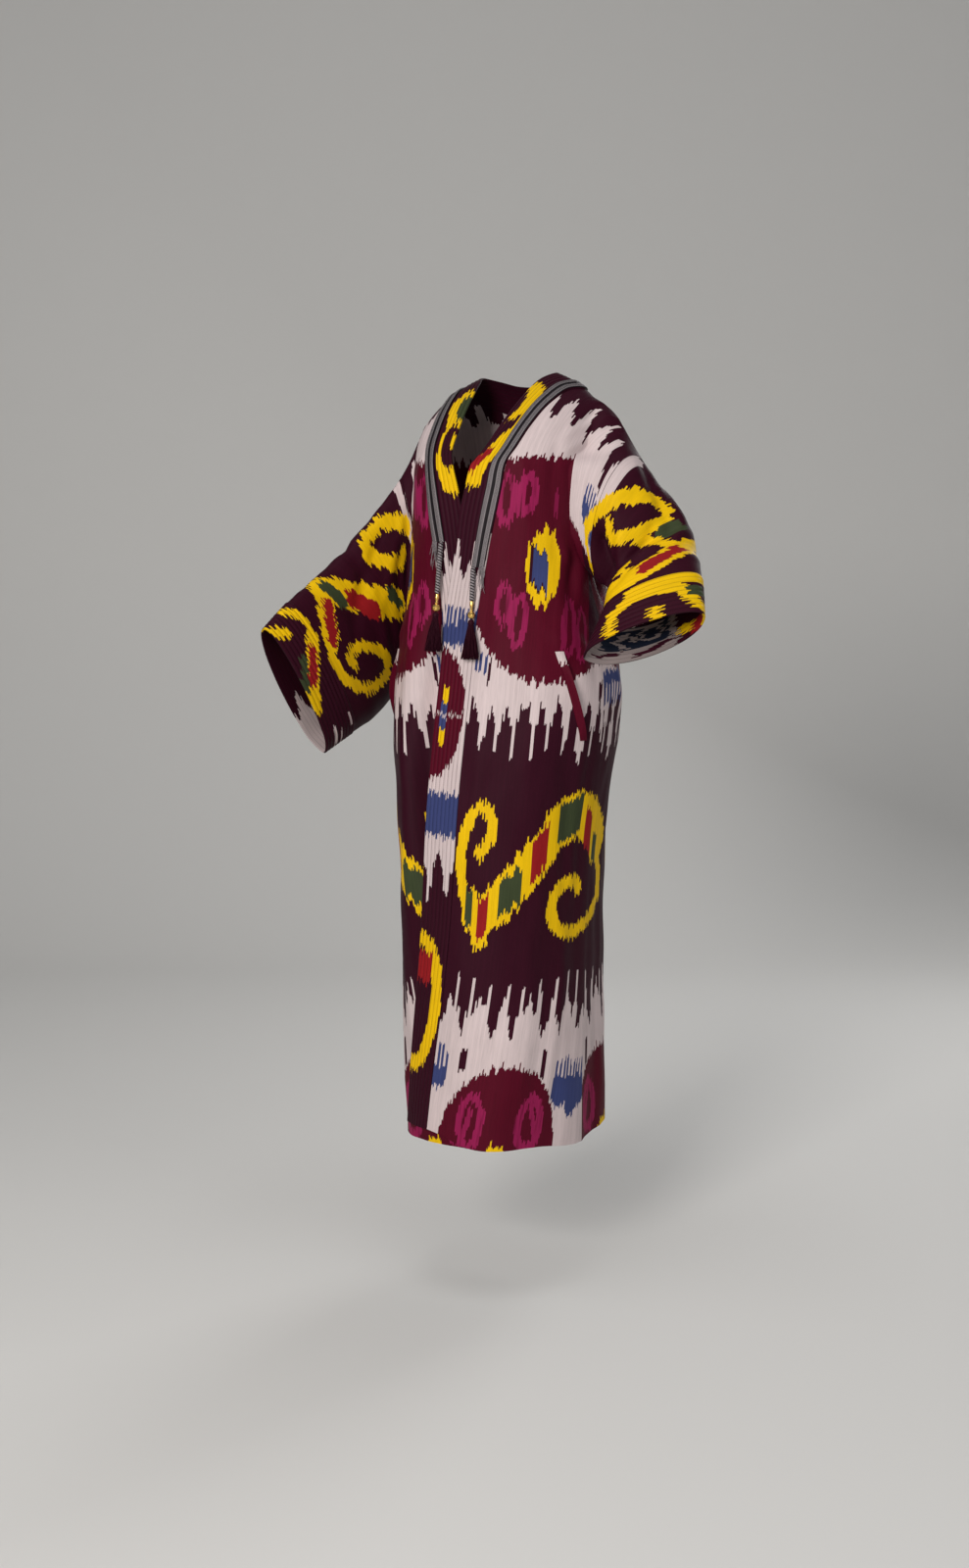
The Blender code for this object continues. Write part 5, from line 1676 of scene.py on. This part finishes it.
def flat_place(maths):
    """The flat cloth's two coordinates, in metres, apart and as a vector."""
    place = Value(maths, maths.node("ShaderNodeUVMap", uv_map="flat").outputs[0])
    return (*maths.split(place), place)


def bump(maths, shader, height, distance):
    made = maths.node("ShaderNodeBump")
    made.inputs["Distance"].default_value = distance
    maths.put(made.inputs["Height"], height)
    maths.put(shader.inputs["Normal"], Value(maths, made.outputs[0]))


def stitching(u, v, start, pitch):
    """One at each stitch of the lines between padded channels, fading to nothing beside it."""
    turn = ((u - start) / pitch).fraction()
    gap = 0.5 - abs(turn - 0.5)
    line = (1.0 - gap * (pitch / STITCH_LINE)).clamped()
    stitch = u.maths.do("SINE", v * (2 * math.pi / STITCH_LONG))
    return line * (stitch * STITCH_SWELL + (1.0 - STITCH_SWELL))


def woven(name, dye, lines=None):
    """Dyed warp-faced silk and cotton: streaks along the warp and fine ribs across it.

    Lines of stitching, where there are some, are given by the first one's u and their pitch; their grooves
    are darkened as painted shade.
    """
    material, maths, shader = start_material(name, **CLOTH_SHINE)
    u, v, place = flat_place(maths)
    k = dye(maths, u, v)
    streaks = maths.grain(place, STREAK_GRAIN, 3.0, 0.6)
    clouds = maths.grain(place, CLOUD_GRAIN)
    tone = streaks * STREAK_TONE + clouds * CLOUD_TONE
    tone = tone + maths.dice(k.bundle + BUNDLE_SEED) * BUNDLE_TONE + LEAST_TONE
    height = maths.grain(place, RIB_GRAIN) + streaks * STREAK_RELIEF
    if lines:
        pressed = stitching(u, v, *lines)
        # Painted shade: the stitched grooves are darkened in the colour as well as pressed into the relief
        tone = tone * (1.0 - pressed * STITCH_PAINTED_SHADE)
        height = height - pressed * STITCH_DEPTH
    maths.put(shader.inputs["Base Color"], maths.scaled(k.colour, tone))
    bump(maths, shader, height, WEAVE_RELIEF)
    return material


def braid_metal(name, bright_rows):
    """Silver and black plait. The bright rows are drawn by the given function of u and v."""
    material, maths, shader = start_material(name, roughness=0.45, specular=0.20)
    u, v, place = flat_place(maths)
    bright = bright_rows(u, v)
    glint = maths.grain(place, GLINT_GRAIN, 1.0)
    silver = maths.scaled(SILVER, glint * GLINT_TONE + DIM_TONE)
    maths.put(shader.inputs["Base Color"], maths.mix(bright, BRAID_BLACK, silver))
    maths.put(shader.inputs["Metallic"], bright * BRAID_METALLIC)
    bump(maths, shader, bright + glint, BRAID_RELIEF)
    return material


def tape_rows(u, v):
    """Two rows of slanted silver threads between bright edges, with black between the rows."""
    from_middle = abs(u - BRAID_ROW_WIDTH)
    from_ridge = abs(from_middle - TAPE_RIDGE)
    slant = (v * (1 / TAPE_THREAD) + from_ridge * TAPE_LEAN).fraction()
    edge = from_ridge > TAPE_EDGE
    return ((slant > TAPE_BLACK) | edge) & from_middle.between(*TAPE_ROW)


def cord_turns(turns, v):
    """Silver threads wrapped two at a time round the cord."""
    return (v * (1 / CORD_THREAD) + turns * 2.0).fraction() > CORD_BLACK


def plain(name, colour, grain=None, **values):
    """One colour, or one that flecks vary, which turn so often in a metre."""
    material, maths, shader = start_material(name, **values)
    if grain is None:
        shader.inputs["Base Color"].default_value = (*colour, 1.0)
        return material
    place = Value(maths, maths.node("ShaderNodeTexCoord").outputs["Object"])
    fleck = maths.grain(place, grain, 3.0, 0.6)
    maths.put(shader.inputs["Base Color"], maths.scaled(colour, fleck * FLECK_TONE + LEAST_FLECK))
    bump(maths, shader, fleck, FLECK_RELIEF)
    return material


def shared_cloths():
    """The materials that both sides share, by the piece they are for."""
    chest = woven("chest_ikat", chest_dye)
    return {
        "panel": chest,
        "zones": [(SKIRT_V, woven("skirt_ikat", skirt_dye)), (HEM_V, woven("hem_ikat", hem_dye))],
        "pocket_bag": chest,
        "pocket_welt": woven("welt_cloth", welt_dye),
        "braid": braid_metal("woven_braid", tape_rows),
        "cord": braid_metal("wrapped_cord", cord_turns),
        "beads": plain("gold_beads", (0.83, 0.55, 0.16), roughness=0.28, metallic=1.0),
        "tassel": plain(
            "tassel_silk", (0.024, 0.0015, 0.0070), (900.0, 900.0, 60.0), roughness=0.55, specular=0.10
        ),
        "threads": plain(
            "loose_metal_thread", (0.24, 0.21, 0.22), (700.0, 700.0, 200.0), roughness=0.5, metallic=0.3
        ),
    }


def cloths_of(name, band_dye, sleeve_dye):
    """The materials of one side's own cloths."""
    cuff_lines = (CUFF_FROM[name], CUFF_LONG[name] / CUFF_CHANNELS)
    return {
        "sleeve": woven(f"sleeve_ikat_{name}", sleeve_dye),
        "cuff": woven(f"cuff_ikat_{name}", sleeve_dye, cuff_lines),
        "band": woven(f"band_ikat_{name}", band_dye, (0.0, BAND_WIDTH / BAND_CHANNELS)),
    }


def build_sweep():
    """A plain pale floor that curves up into a backdrop."""
    turns = np.linspace(SWEEP_FROM, math.pi / 2, SWEEP_STEPS)
    profile = [(-FLOOR_BEFORE, 0.0), (FLOOR_BEHIND, 0.0)]
    profile += [
        (FLOOR_BEHIND + SWEEP_RADIUS * math.sin(a), SWEEP_RADIUS - SWEEP_RADIUS * math.cos(a)) for a in turns
    ]
    profile.append((FLOOR_BEHIND + SWEEP_RADIUS, BACKDROP_HIGH))
    points = [(x, y, FLOOR_Z + z) for y, z in profile for x in (-BACKDROP_HALF, BACKDROP_HALF)]
    faces = [(2 * k, 2 * k + 1, 2 * k + 3, 2 * k + 2) for k in range(len(profile) - 1)]
    mesh = bpy.data.meshes.new("studio_sweep")
    mesh.from_pydata(points, [], faces)
    mesh.shade_smooth()
    mesh.transform(Matrix.Rotation(math.radians(CAMERA_TURN), 4, "Z"))
    piece("studio_sweep", mesh, plain("pale_floor", FLOOR_COLOUR, roughness=0.85))


def build_lights():
    """Soft studio lights, placed as seen from the camera, and a weak even light all round."""
    for name, place, size, power, colour in LIGHTS:
        data = bpy.data.lights.new(name, "AREA")
        data.shape = "RECTANGLE"
        data.size, data.size_y = size
        data.energy = power
        data.color = colour
        lamp = bpy.data.objects.new(name, data)
        lamp.location = Matrix.Rotation(math.radians(CAMERA_TURN), 3, "Z") @ Vector(place)
        lamp.rotation_euler = (Vector(LIGHTS_AIM) - lamp.location).to_track_quat("-Z", "Y").to_euler()
        bpy.context.scene.collection.objects.link(lamp)
    world = bpy.data.worlds.new("studio")
    bpy.context.scene.world = world
    world.use_nodes = True
    world.node_tree.nodes["Background"].inputs["Color"].default_value = (*WORLD_COLOUR, 1)
    world.node_tree.nodes["Background"].inputs["Strength"].default_value = WORLD_STRENGTH


def build_camera():
    """The photo's own angle, and the plain display of colours."""
    bpy.context.scene.view_settings.view_transform = "Standard"
    data = bpy.data.cameras.new("camera")
    data.lens = CAMERA_LENS
    camera = bpy.data.objects.new("camera", data)
    camera.location = CAMERA_PLACE
    camera.rotation_mode = "XYZ"
    camera.rotation_euler = (math.radians(90 - CAMERA_TILT), 0, math.radians(CAMERA_TURN))
    bpy.context.scene.collection.objects.link(camera)
    bpy.context.scene.camera = camera


SIDES = [
    # name    side  sleeve        band dye        sleeve dye
    ("left", 1, LEFT_SLEEVE, left_band_dye, left_sleeve_dye),
    ("right", -1, RIGHT_SLEEVE, right_band_dye, right_sleeve_dye),
]
shared = shared_cloths()
for name, side, sleeve_table, band_dye, sleeve_dye in SIDES:
    cloths = {**shared, **cloths_of(name, band_dye, sleeve_dye)}
    build_drop(CoatSide(name, side, sleeve_table, cloths))
build_sweep()
build_lights()
build_camera()
